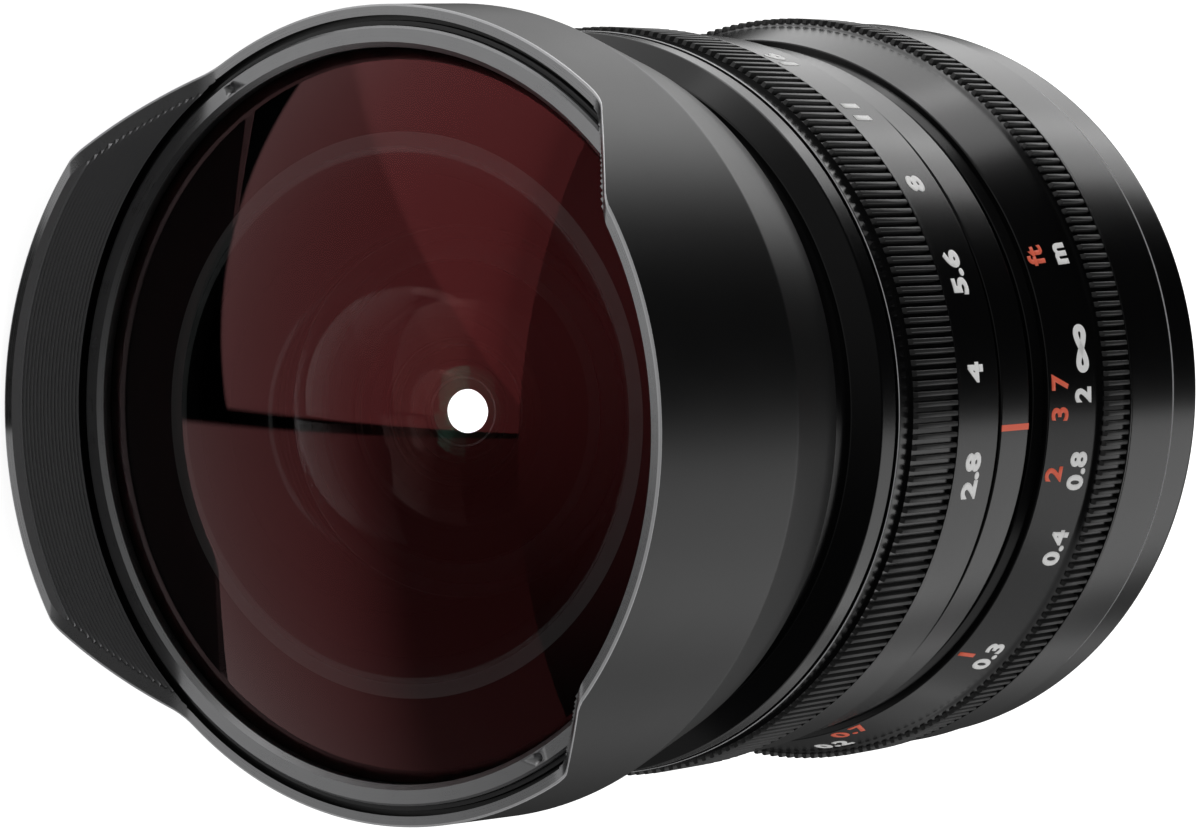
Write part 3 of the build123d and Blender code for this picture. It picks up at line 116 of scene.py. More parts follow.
def surface_grain() -> bpy.types.NodeTree:
    """Group for the grain of a coated or turned surface.

    Returns:
        The group, with colour, roughness and height outputs. Turned runs the grain round the optical axis.
    """
    name = "surface_grain"
    if name in bpy.data.node_groups:
        return bpy.data.node_groups[name]
    tree = bpy.data.node_groups.new(name, "ShaderNodeTree")
    for label, kind, value in (("Grain Size", "NodeSocketFloat", 0.2), ("Turned", "NodeSocketFloat", 0.0),
                               ("Dark", "NodeSocketColor", (0.01, 0.01, 0.01, 1.0)),
                               ("Light", "NodeSocketColor", (0.02, 0.02, 0.02, 1.0)),
                               ("Smooth", "NodeSocketFloat", 0.3), ("Rough", "NodeSocketFloat", 0.4)):
        new_socket(tree, label, kind, default=value)
    for label, kind in (("Color", "NodeSocketColor"), ("Roughness", "NodeSocketFloat"),
                        ("Height", "NodeSocketFloat")):
        new_socket(tree, label, kind, output=True)
    given = add_node(tree, "NodeGroupInput").outputs
    place = add_node(tree, "ShaderNodeTexCoord").outputs["Object"]
    parts = add_node(tree, "ShaderNodeSeparateXYZ", {0: place}).outputs
    squares = [math_node(tree, "POWER", parts[axis], 2.0) for axis in ("X", "Z")]
    radius = math_node(tree, "SQRT", math_node(tree, "ADD", *squares))
    turned = add_node(tree, "ShaderNodeCombineXYZ", {"X": radius, "Y": parts["Y"]})
    blend = add_node(tree, "ShaderNodeMix", {"Factor": given["Turned"], 4: place, 5: turned.outputs[0]},
                     data_type="VECTOR")
    fine_share, broad_share, broad_size = 0.6, 0.4, 40.0
    frequency = math_node(tree, "DIVIDE", 1.0 / MM, given["Grain Size"])
    fine = add_node(tree, "ShaderNodeTexNoise", {"Detail": 2.0, "Vector": blend.outputs[1],
                                                 "Scale": frequency}).outputs["Fac"]
    slow = math_node(tree, "DIVIDE", frequency, broad_size)
    broad = add_node(tree, "ShaderNodeTexNoise", {"Detail": 3.0, "Vector": place, "Scale": slow}).outputs["Fac"]
    mixed = math_node(tree, "ADD", math_node(tree, "MULTIPLY", fine, fine_share),
                      math_node(tree, "MULTIPLY", broad, broad_share))
    tone = add_node(tree, "ShaderNodeMix", {"Factor": mixed, 6: given["Dark"], 7: given["Light"]}, data_type="RGBA")
    span = math_node(tree, "SUBTRACT", given["Rough"], given["Smooth"])
    rough = math_node(tree, "ADD", given["Smooth"], math_node(tree, "MULTIPLY", span, mixed))
    add_node(tree, "NodeGroupOutput", {"Color": tone.outputs[2], "Roughness": rough, "Height": fine})
    return tree


def new_material(name: str) -> tuple[bpy.types.Material, bpy.types.NodeTree, bpy.types.Node]:
    """Add a material and return it with its node tree and its shader."""
    material = bpy.data.materials.new(name)
    material.use_nodes = True
    return material, material.node_tree, material.node_tree.nodes["Principled BSDF"]


@dataclass(frozen=True)
class Finish:
    """A solid finish: coated metal, bare metal, plastic, rubber or paint.

    Grain is in millimetres, turned runs it round the axis, and relief is the depth of its bump in millimetres.
    """

    name: str
    dark: Color
    light: Color
    smooth: float
    rough: float
    grain: float = 0.2
    turned: float = 0.0
    relief: float = 0.004
    metallic: float = 0.0
    specular: float = 0.5

    def material(self) -> bpy.types.Material:
        """Build the material once, or return the one that exists."""
        if self.name in bpy.data.materials:
            return bpy.data.materials[self.name]
        material, tree, shader = new_material(self.name)
        grain = add_node(tree, "ShaderNodeGroup", node_tree=surface_grain())
        set_inputs(tree, grain, {"Grain Size": self.grain, "Turned": self.turned, "Dark": (*self.dark, 1.0),
                                 "Light": (*self.light, 1.0), "Smooth": self.smooth, "Rough": self.rough})
        bump = add_node(tree, "ShaderNodeBump", {"Distance": self.relief * MM, "Height": grain.outputs["Height"]})
        set_inputs(tree, shader, {"Metallic": self.metallic, "Specular IOR Level": self.specular,
                                  "Base Color": grain.outputs["Color"], "Roughness": grain.outputs["Roughness"],
                                  "Normal": bump.outputs["Normal"]})
        material.diffuse_color = (*self.light, 1.0)
        return material


@dataclass(frozen=True)
class GlassFinish:
    """Clear coated glass: refractive index, tint of its reflections, and grain in millimetres."""

    name: str
    index: float
    tint: Color
    painted_back_glow: bool = False
    grain: float = 14.0

    def material(self) -> bpy.types.Material:
        """Build the glass once; glass marked to glow shines white to rays that come through glass, painted light
        standing in for the bright room seen through the lens.
        """
        if self.name in bpy.data.materials:
            return bpy.data.materials[self.name]
        material, tree, shader = new_material(self.name)
        grain = add_node(tree, "ShaderNodeGroup", node_tree=surface_grain())
        set_inputs(tree, grain, {"Grain Size": self.grain, "Dark": (0.985, 0.99, 0.985, 1.0),
                                 "Light": (1.0, 1.0, 1.0, 1.0)})
        set_inputs(tree, shader, {"IOR": self.index, "Roughness": 0.0, "Transmission Weight": 1.0,
                                  "Specular Tint": (*self.tint, 1.0), "Base Color": grain.outputs["Color"]})
        # Painted light: the glass glows white to rays coming through glass, in place of the room behind the lens.
        if self.painted_back_glow:
            path = add_node(tree, "ShaderNodeLightPath").outputs
            set_inputs(tree, shader, {"Emission Color": (1.0, 1.0, 1.0, 1.0),
                                      "Emission Strength": path["Is Transmission Ray"]})
        return material


class Finishes:
    """Every finish of the lens by the maker's plain words; the bright edge, the trap and the glowing glass also carry
    painted light.
    """

    barrel = Finish("satin_black_barrel", (0.0016, 0.0016, 0.0018), (0.0034, 0.0034, 0.0037), 0.19, 0.25, 0.12,
                    relief=0.0012)
    hood = Finish("fine_matt_hood", (0.0018, 0.0018, 0.0020), (0.0042, 0.0042, 0.0045), 0.32, 0.40, 0.14,
                  relief=0.002)
    grip = Finish("grip_black", (0.012, 0.012, 0.012), (0.026, 0.026, 0.026), 0.38, 0.48, 0.1, relief=0.002)
    ring = Finish("ring_black", (0.010, 0.010, 0.0105), (0.018, 0.018, 0.019), 0.26, 0.34, 0.05, 1.0, 0.002)
    cell = Finish("flat_cell_black", (0.0012, 0.0012, 0.0012), (0.003, 0.003, 0.003), 0.55, 0.75, 0.25, 0.6,
                  specular=0.2)
    rim = Finish("satin_rim", (0.28, 0.28, 0.285), (0.38, 0.38, 0.385), 0.24, 0.32, 0.06, 1.0, 0.002, 0.9)
    # Painted sheen: the petals' inside gets a light grey in place of the soft light it reflects.
    trap = Finish("trap_painted_grey_sheen", (0.130, 0.130, 0.133), (0.170, 0.170, 0.173), 0.42, 0.55, 0.25)
    ground = Finish("ground_glass_edge", (0.060, 0.056, 0.056), (0.090, 0.084, 0.084), 0.5, 0.7, 0.15, relief=0.003)
    ink = Finish("edge_ink", (0.0008, 0.0008, 0.0010), (0.002, 0.002, 0.0025), 0.6, 0.8, 0.3, specular=0.1)
    # Painted highlight: bright metal on a few cut edges, standing in for the highlights those edges catch.
    edge = Finish("painted_highlight_edge", (0.55, 0.55, 0.56), (0.70, 0.70, 0.71), 0.25, 0.35, 0.08, 1.0, 0.001, 0.3)
    plated = Finish("plated_mount", (0.62, 0.62, 0.63), (0.74, 0.74, 0.75), 0.12, 0.24, 0.06, 1.0, 0.001, 1.0)
    steel = Finish("screw_steel", (0.46, 0.46, 0.47), (0.60, 0.60, 0.61), 0.2, 0.35, 0.1, 0.0, 0.002, 1.0)
    alloy = Finish("turned_alloy", (0.42, 0.42, 0.43), (0.56, 0.56, 0.57), 0.3, 0.45, 0.12, 1.0, 0.003, 1.0)
    brass = Finish("turned_brass", (0.50, 0.36, 0.15), (0.66, 0.50, 0.24), 0.28, 0.42, 0.12, 1.0, 0.003, 1.0)
    blade = Finish("blade_steel", (0.018, 0.019, 0.019), (0.035, 0.036, 0.036), 0.35, 0.5, 0.2, 0.0, 0.002, 0.6)
    rubber = Finish("seal_rubber", (0.010, 0.010, 0.010), (0.020, 0.020, 0.020), 0.6, 0.8, 0.3)
    plastic = Finish("baffle_plastic", (0.010, 0.010, 0.010), (0.018, 0.018, 0.018), 0.5, 0.65, 0.3)
    white = Finish("paint_white", (0.93, 0.93, 0.92), (1.0, 1.0, 0.99), 0.45, 0.6, 0.15, relief=0.001)
    red = Finish("paint_red", (0.90, 0.12, 0.055), (1.0, 0.17, 0.085), 0.45, 0.6, 0.15, relief=0.001)
    bead = Finish("bead_white", (0.76, 0.76, 0.74), (0.86, 0.86, 0.84), 0.25, 0.35, 0.2, relief=0.001)
    front_glass = GlassFinish("front_glass", 1.75, (0.90, 0.15, 0.16))
    front_glass_back = GlassFinish("front_glass_back", 1.75, (0.14, 0.03, 0.03))
    second_glass = GlassFinish("second_glass", 1.65, (0.30, 0.08, 0.07))
    second_glass_back = GlassFinish("second_glass_back", 1.65, (0.30, 0.10, 0.09))
    third_glass = GlassFinish("third_glass", 1.55, (0.20, 0.60, 0.45))
    inner_glass = GlassFinish("inner_glass", 1.65, (0.22, 0.85, 0.60))
    rear_glass = GlassFinish("rear_glass", 1.60, (0.20, 0.36, 0.30))
    window_glass_painted_glow = GlassFinish("window_glass_painted_glow", 1.60, (0.20, 0.40, 0.34), painted_back_glow=True)


# Mesh building

def new_object(name: str, mesh: bpy.types.Mesh) -> bpy.types.Object:
    """Put a mesh in the scene as an object at the origin."""
    piece = bpy.data.objects.new(name, mesh)
    bpy.context.scene.collection.objects.link(piece)
    return piece


def shade(mesh: bpy.types.Mesh, sharp_angle: float = 32.0) -> None:
    """Shade a mesh smooth, with edges kept sharp past an angle in degrees."""
    mesh.shade_smooth()
    mesh.set_sharp_from_angle(angle=math.radians(sharp_angle))


def tidy_mesh(mesh: bpy.types.Mesh, merge: float = 1e-7, recalculate: bool = True) -> None:
    """Merge doubled points and point the faces outwards.

    Args:
        mesh: Mesh to tidy in place.
        merge: Distance in metres under which points are one.
        recalculate: Whether the faces are turned outwards.
    """
    shape = bmesh.new()
    shape.from_mesh(mesh)
    bmesh.ops.remove_doubles(shape, verts=shape.verts, dist=merge)
    bmesh.ops.dissolve_degenerate(shape, edges=shape.edges, dist=merge)
    if recalculate:
        bmesh.ops.recalc_face_normals(shape, faces=shape.faces)
    shape.to_mesh(mesh)
    shape.free()


def broken_profile(corners: Sequence[Corner], steps: int = 4) -> list[tuple[float, float]]:
    """Round the corners of a closed (radius, front, break) profile.

    Args:
        corners: Corners in order; break is how far the rounding starts before the corner.
        steps: Points along each rounding.

    Returns:
        The points as (radius, front), with a support point before and after each rounding.
    """
    points: list[tuple[float, float]] = []
    count = len(corners)
    for index, (radius, front, size) in enumerate(corners):
        here = Vector((radius, front))
        before = Vector(corners[index - 1][:2]) - here
        after = Vector(corners[(index + 1) % count][:2]) - here
        if size <= 0 or before.length < 1e-6 or after.length < 1e-6:
            points.append((radius, front))
            continue
        reach = min(size, 0.45 * before.length, 0.45 * after.length)
        start, end = here + before.normalized() * reach, here + after.normalized() * reach
        points.append(tuple(here + before.normalized() * reach * 1.08))
        for step in range(steps + 1):
            t = step / steps
            points.append(tuple(start * (1 - t) ** 2 + here * 2 * t * (1 - t) + end * t ** 2))
        points.append(tuple(here + after.normalized() * reach * 1.08))
    return points


def ring_point(radius: float, front: float, turn: float) -> tuple[float, float, float]:
    """Place in metres of a point by radius and front distance in mm and turn in degrees, seen from the front."""
    angle = math.radians(turn)
    return (radius * math.cos(angle) * MM, -front * MM, radius * math.sin(angle) * MM)


def spun_mesh(name: str, points: Sequence[tuple[float, float]], segments: int = 256,
              closed: bool = True) -> bpy.types.Mesh:
    """Turn a profile about the optical axis.

    Args:
        name: Name of the mesh.
        points: (radius, front) points in mm; a point on the axis becomes one pole.
        segments: Steps round the axis.
        closed: Whether the last point joins the first.

    Returns:
        The mesh, closed and facing outwards.
    """
    verts: list[tuple[float, float, float]] = []
    rows: list[list[int]] = []
    for radius, front in points:
        if radius < 1e-6:
            rows.append([len(verts)] * segments)
            verts.append((0.0, -front * MM, 0.0))
            continue
        rows.append(list(range(len(verts), len(verts) + segments)))
        verts += [ring_point(radius, front, 360.0 * step / segments) for step in range(segments)]
    faces = []
    for index in range(len(rows) if closed else len(rows) - 1):
        low, high = rows[index], rows[(index + 1) % len(rows)]
        if low[0] == low[1] and high[0] == high[1]:
            continue
        for step in range(segments):
            after = (step + 1) % segments
            corner = [low[step], low[after], high[after], high[step]]
            faces.append(list(dict.fromkeys(corner)))
    mesh = bpy.data.meshes.new(name)
    mesh.from_pydata(verts, [], faces)
    tidy_mesh(mesh)
    return mesh


def turned_piece(name: str, corners: Sequence[Corner], finish: Finish, segments: int = 256,
                 cut: tuple[float, float] | None = None) -> bpy.types.Object:
    """A turned piece with broken edges.

    Args:
        name: Name of the piece.
        corners: Closed profile as (radius, front, break) in mm.
        finish: Finish of the whole piece.
        segments: Steps round the axis.
        cut: Front distances in mm between which the faces turned to the front get the bright edge finish, a painted
            highlight on that edge.

    Returns:
        The object, in the scene.
    """
    mesh = spun_mesh(name, broken_profile(corners), segments)
    shade(mesh)
    mesh.materials.append(finish.material())
    if cut is not None:
        # Faces in the cut span get the bright edge finish, a painted highlight.
        mesh.materials.append(Finishes.edge.material())
        for face in mesh.polygons:
            face.material_index = int(cut[0] < -face.center.y / MM < cut[1] and face.normal.y < -0.25)
    return new_object(name, mesh)


def smooth_copy(node: str, finish: Finish, name: str | None = None) -> bpy.types.Object:
    """A merged, smoothly shaded copy of a CAD node that stands for it.

    Args:
        node: The CAD node.
        finish: Finish of the copy.
        name: Name of the copy, or none for one made from the node's.

    Returns:
        The copy, riding on the node's body.
    """
    original = frame["nodes"][node]
    mesh = original.data.copy()
    mesh.name = name or f"{node}_dressed"
    tidy_mesh(mesh, merge=2e-7, recalculate=False)
    mesh.materials.clear()
    mesh.materials.append(finish.material())
    shade(mesh, 24.0)
    piece = new_object(mesh.name, mesh)
    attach(piece, body_of_node(node))
    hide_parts(node)
    return piece


def body_of_node(node: str) -> str:
    """Name of the body that a CAD node belongs to."""
    bodies = frame["record"]["behaviour"]["bodies"]
    return next(body for body, nodes in bodies.items() if node in nodes)


def give(node: str, finish: Finish) -> None:
    """Give a CAD node, whose shape stays, its finish."""
    carried = frame["nodes"][node]
    material = finish.material()
    if not carried.data.materials:
        carried.data.materials.append(material)
    for slot in carried.material_slots:
        slot.material = material


def copies_round_axis() -> bpy.types.NodeTree:
    """Geometry tree that sets copies of its own mesh evenly round the optical axis.

    Returns:
        The tree, with named inputs Copies, First Turn and Finish.
    """
    name = "copies_round_axis"
    if name in bpy.data.node_groups:
        return bpy.data.node_groups[name]
    tree = bpy.data.node_groups.new(name, "GeometryNodeTree")
    new_socket(tree, "Geometry", "NodeSocketGeometry")
    new_socket(tree, "Copies", "NodeSocketInt", default=4)
    new_socket(tree, "First Turn", "NodeSocketFloat", default=0.0)
    new_socket(tree, "Finish", "NodeSocketMaterial")
    new_socket(tree, "Geometry", "NodeSocketGeometry", output=True)
    given = add_node(tree, "NodeGroupInput").outputs
    points = add_node(tree, "GeometryNodePoints", {"Count": given["Copies"]}).outputs[0]
    share = math_node(tree, "DIVIDE", add_node(tree, "GeometryNodeInputIndex").outputs[0], given["Copies"])
    turn = math_node(tree, "ADD", math_node(tree, "MULTIPLY", share, 2 * math.pi),
                     math_node(tree, "RADIANS", given["First Turn"]))
    euler = add_node(tree, "ShaderNodeCombineXYZ", {"Y": math_node(tree, "MULTIPLY", turn, -1.0)}).outputs[0]
    place = add_node(tree, "GeometryNodeInstanceOnPoints",
                     {"Points": points, "Instance": given["Geometry"], "Rotation": euler})
    real = add_node(tree, "GeometryNodeRealizeInstances", {0: place.outputs[0]})
    paint = add_node(tree, "GeometryNodeSetMaterial", {"Geometry": real.outputs[0], "Material": given["Finish"]})
    add_node(tree, "NodeGroupOutput", {0: paint.outputs[0]})
    return tree


def repeated_piece(name: str, mesh: bpy.types.Mesh, copies: int, first_turn: float,
                   finish: Finish) -> bpy.types.Object:
    """Repeat a mesh round the optical axis with the geometry tree and keep the result as a plain mesh.

    Args:
        name: Name of the piece.
        mesh: One copy, placed at turn zero.
        copies: How many.
        first_turn: Turn of the first in degrees.
        finish: Finish of all of them.

    Returns:
        The object, in the scene, with no modifier left.
    """
    piece = new_object(name, mesh)
    modifier = piece.modifiers.new("copies", "NODES")
    tree = copies_round_axis()
    modifier.node_group = tree
    values = {"Copies": copies, "First Turn": first_turn, "Finish": finish.material()}
    for item in tree.interface.items_tree:
        if item.item_type == "SOCKET" and item.in_out == "INPUT" and item.name in values:
            modifier[item.identifier] = values[item.name]
    bpy.context.view_layer.update()
    evaluated = piece.evaluated_get(bpy.context.evaluated_depsgraph_get())
    result = bpy.data.meshes.new_from_object(evaluated)
    piece.modifiers.clear()
    piece.data = result
    shade(result, 40.0)
    return piece


def grid_mesh(name: str, rows: Sequence[Sequence[tuple[float, float, float]]], wrap: bool = True,
              caps: bool = False) -> bpy.types.Mesh:
    """A mesh from rows of places, with quads between neighbouring rows.

    Args:
        name: Name of the mesh.
        rows: Rows of equal length, in metres.
        wrap: Whether each row is closed.
        caps: Whether the first and last rows are closed with a face.

    Returns:
        The mesh, facing outwards.
    """
    width = len(rows[0])
    verts = [place for row in rows for place in row]
    faces: list[list[int]] = []
    for index in range(len(rows) - 1):
        for step in range(width if wrap else width - 1):
            after = (step + 1) % width
            faces.append([index * width + step, index * width + after,
                          (index + 1) * width + after, (index + 1) * width + step])
    if caps:
        faces.append(list(range(width)))
        faces.append(list(range((len(rows) - 1) * width, len(rows) * width)))
    mesh = bpy.data.meshes.new(name)
    mesh.from_pydata(verts, [], faces)
    tidy_mesh(mesh)
    return mesh


@dataclass
class GripTeeth:
    """Straight ridges of a knurled ring, in mm."""

    name: str
    root_radius: float
    crest_radius: float
    rear: float
    front: float
    count: int
    crest_share: float = 0.40
    foot_share: float = 0.56
    end_slope: float = 0.16
    edge_break: float = 0.07

    def tooth(self) -> bpy.types.Mesh:
        """One ridge at turn zero, with broken crest edges and sloped ends."""
        pitch = 2 * math.pi * self.crest_radius / self.count
        crest, foot = pitch * self.crest_share / 2, pitch * self.foot_share / 2
        low, high, cut = self.root_radius - 0.05, self.crest_radius, self.edge_break
        section = [(-foot, low), (-crest - cut * 0.3, high - cut), (-crest + cut * 0.4, high - cut * 0.25),
                   (-crest + cut * 1.4, high), (crest - cut * 1.4, high), (crest - cut * 0.4, high - cut * 0.25),
                   (crest + cut * 0.3, high - cut), (foot, low)]
        rows = []
        for front, drop in ((self.rear, high - low), (self.rear + self.end_slope, cut * 0.6),
                            (self.rear + self.end_slope + cut, 0.0), (self.front - self.end_slope - cut, 0.0),
                            (self.front - self.end_slope, cut * 0.6), (self.front, high - low)):
            share = 1 - drop / (high - low)
            rows.append([((low + (height - low) * share) * MM, -front * MM, side * MM) for side, height in section])
        return grid_mesh(self.name, rows, caps=True)

    def build(self, finish: Finish, body: Body) -> bpy.types.Object:
        """All ridges as one piece on a body."""
        piece = repeated_piece(self.name, self.tooth(), self.count, TOP_TURN, finish)
        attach(piece, body.value)
        return piece


@dataclass
class ScaleMark:
    """One printed figure on a ring: its text, turn from the index in degrees, place and height in mm."""

    text: str
    turn: float
    front: float
    height: float
    weight: float = 0.035


@dataclass
class PrintedRow:
    """A row of figures on a cylindrical or slightly conical band."""

    name: str
    marks: Sequence[ScaleMark]
    radius_at: Callable[[float], float]
    finish: Finish
    body: Body
    proud: float = 0.03
    film: float = 0.05
    cap_share: float = 0.72
    spacing: float = 1.06
    longest_edge: float = 0.5

    def flat_mesh(self, mark: ScaleMark) -> bpy.types.Mesh:
        """The figure as a thin flat mesh in mm, centred on its own place."""
        if mark.text == "infinity":
            return self.loop_mesh(mark)
        curve = bpy.data.curves.new(f"{self.name}_figure", "FONT")
        curve.body = mark.text
        curve.align_x, curve.align_y = "CENTER", "CENTER"
        curve.size = mark.height / self.cap_share
        curve.offset = mark.weight * mark.height
        curve.resolution_u = 4
        curve.space_character = self.spacing
        carrier = bpy.data.objects.new(curve.name, curve)
        bpy.context.scene.collection.objects.link(carrier)
        bpy.context.view_layer.update()
        evaluated = carrier.evaluated_get(bpy.context.evaluated_depsgraph_get())
        mesh = bpy.data.meshes.new_from_object(evaluated)
        bpy.data.objects.remove(carrier)
        bpy.data.curves.remove(curve)
        return mesh

    @staticmethod
    def loop_mesh(mark: ScaleMark) -> bpy.types.Mesh:
        """The far focus sign as a flat ribbon along a figure of eight."""
        half, rise, stroke, steps = mark.height, mark.height * 0.26, mark.height * 0.175, 96
        verts, faces = [], []
        for step in range(steps):
            angle = 2 * math.pi * step / steps
            place = Vector((half * math.sin(angle), rise * math.sin(2 * angle)))
            ahead = Vector((half * math.cos(angle), 2 * rise * math.cos(2 * angle))).normalized()
            side = Vector((-ahead.y, ahead.x)) * stroke
            verts += [(*(place + side), 0.0), (*(place - side), 0.0)]
        for step in range(steps):
            after = (step + 1) % steps
            faces.append([2 * step, 2 * after, 2 * after + 1, 2 * step + 1])
        mesh = bpy.data.meshes.new("far_sign")
        mesh.from_pydata(verts, [], faces)
        return mesh

    def build(self) -> bpy.types.Object:
        """All figures wrapped on the band as one thin raised piece."""
        whole = bmesh.new()
        for mark in self.marks:
            flat = self.flat_mesh(mark)
            part = bmesh.new()
            part.from_mesh(flat)
            bmesh.ops.remove_doubles(part, verts=part.verts, dist=1e-5)
            bmesh.ops.triangulate(part, faces=part.faces)
            long_edges = [edge for edge in part.edges if edge.calc_length() > self.longest_edge]
            bmesh.ops.subdivide_edges(part, edges=long_edges, cuts=2)
            bmesh.ops.triangulate(part, faces=[face for face in part.faces if len(face.verts) > 3])
            for vert in part.verts:
                front = mark.front + vert.co.y
                turn = TOP_TURN + mark.turn + math.degrees(vert.co.x / self.radius_at(mark.front))
                vert.co = ring_point(self.radius_at(front) + self.proud, front, turn)
            bmesh.ops.recalc_face_normals(part, faces=part.faces)
            for face in part.faces:
                outward = Vector((face.calc_center_median().x, 0.0, face.calc_center_median().z))
                if face.normal.dot(outward) < 0:
                    face.normal_flip()
            raised = bmesh.ops.extrude_face_region(part, geom=list(part.faces))
            for vert in (item for item in raised["geom"] if isinstance(item, bmesh.types.BMVert)):
                outward = Vector((vert.co.x, 0.0, vert.co.z)).normalized()
                vert.co -= outward * self.film * MM
            bmesh.ops.recalc_face_normals(part, faces=part.faces)
            part.to_mesh(flat)
            part.free()
            whole.from_mesh(flat)
            bpy.data.meshes.remove(flat)
        mesh = bpy.data.meshes.new(self.name)
        whole.to_mesh(mesh)
        whole.free()
        mesh.materials.append(self.finish.material())
        piece = new_object(self.name, mesh)
        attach(piece, self.body.value)
        return piece


# Sub-assemblies, from the mount to the hood

@dataclass
class MountAssembly:
    """Bayonet, its screws, the alignment bead, the rear baffle and the outer rear barrel, in mm."""

    barrel_radius: float = 36.95
    barrel_front: float = 15.5
    flange: float = 1.5
    taper_length: float = 5.5
    taper_drop: float = 0.3
    edge_round: float = 0.85
    line_lead: float = 0.2
    line_lead_drop: float = 0.18
    line_drop: float = 0.42
    line_width: float = 0.16
    line_end: float = 0.36
    wall: float = 1.7
    bore: float = 25.6
    spigot_radius: float = 34.1
    spigot_bore: float = 32.2
    spigot_front: float = 20.1
    floor_front: float = 4.7
    screw_circle: float = 28.3
    screw_head: float = 1.6
    screw_shank: float = 0.85
    screw_sink: float = 0.1
    screw_end: float = 4.6
    screws: int = 4

    def rear_barrel(self) -> bpy.types.Object:
        """Outer barrel with its rounded rear edge, the line in front of it with a painted highlight, and its spigot.
        """
        radius, end = self.barrel_radius, self.barrel_radius - self.taper_drop
        taper_front = self.flange + self.taper_length
        corners: list[Corner] = [
            (self.bore, self.flange, 0.0), (end, self.flange, self.edge_round),
            (radius - self.line_lead_drop, taper_front - self.line_lead, 0.03),
            (radius - self.line_drop, taper_front, 0.02),
            (radius - self.line_drop, taper_front + self.line_width, 0.02),
            (radius, taper_front + self.line_end, 0.06), (radius, self.barrel_front, 0.18),
            (radius - self.wall, self.barrel_front, 0.05),
            (radius - self.wall, self.barrel_front - 1.0, 0.0), (self.spigot_radius, self.barrel_front - 1.0, 0.0),
            (self.spigot_radius, self.spigot_front, 0.05), (self.spigot_bore, self.spigot_front, 0.05),
            (self.spigot_bore, self.floor_front, 0.0), (self.bore, self.floor_front, 0.0)]
        # The faces turned to the front at the line get a painted highlight.
        piece = turned_piece("rear_barrel_dressed", corners, Finishes.barrel,
                             cut=(taper_front - 0.3, taper_front + 0.05))
        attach(piece, Body.MOUNT.value)
        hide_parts("rear_barrel")
        return piece

    def screw_mesh(self) -> bpy.types.Mesh:
        """One mount screw at turn zero: domed head with a cross recess, and its shank."""
        sides, head, shank, top = 24, self.screw_head, self.screw_shank, self.screw_sink
        rows = []
        for radius, front in ((0.05, top - 0.02), (head - 0.35, top), (head - 0.1, top + 0.1), (head, top + 0.3),
                              (head, top + 1.0), (shank, top + 1.0), (shank, self.screw_end),
                              (0.05, self.screw_end + 0.05)):
            row = []
            for step in range(sides):
                angle = 2 * math.pi * step / sides
                across = min(abs(math.cos(angle)), abs(math.sin(angle))) * radius
                sunk = 0.55 if front < top + 0.05 and across < 0.22 and radius < head - 0.3 else 0.0
                row.append(((self.screw_circle + radius * math.cos(angle)) * MM, -(front + sunk) * MM,
                            radius * math.sin(angle) * MM))
            rows.append(row)
        return grid_mesh("mount_screw", rows, caps=True)

    def build(self) -> None:
        """Build and dress the mount."""
        self.rear_barrel()
        smooth_copy("mount_bayonet", Finishes.plated)
        screws = repeated_piece("mount_screws_dressed", self.screw_mesh(), self.screws, 45.0, Finishes.steel)
        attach(screws, Body.MOUNT.value)
        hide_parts("mount_screws")
        smooth_copy("mount_index_dot", Finishes.bead)
        smooth_copy("rear_baffle", Finishes.plastic)
        for node, finish in (("guide_sleeve", Finishes.alloy), ("sleeve_screws", Finishes.steel),
                             ("guide_keys", Finishes.brass)):
            give(node, finish)


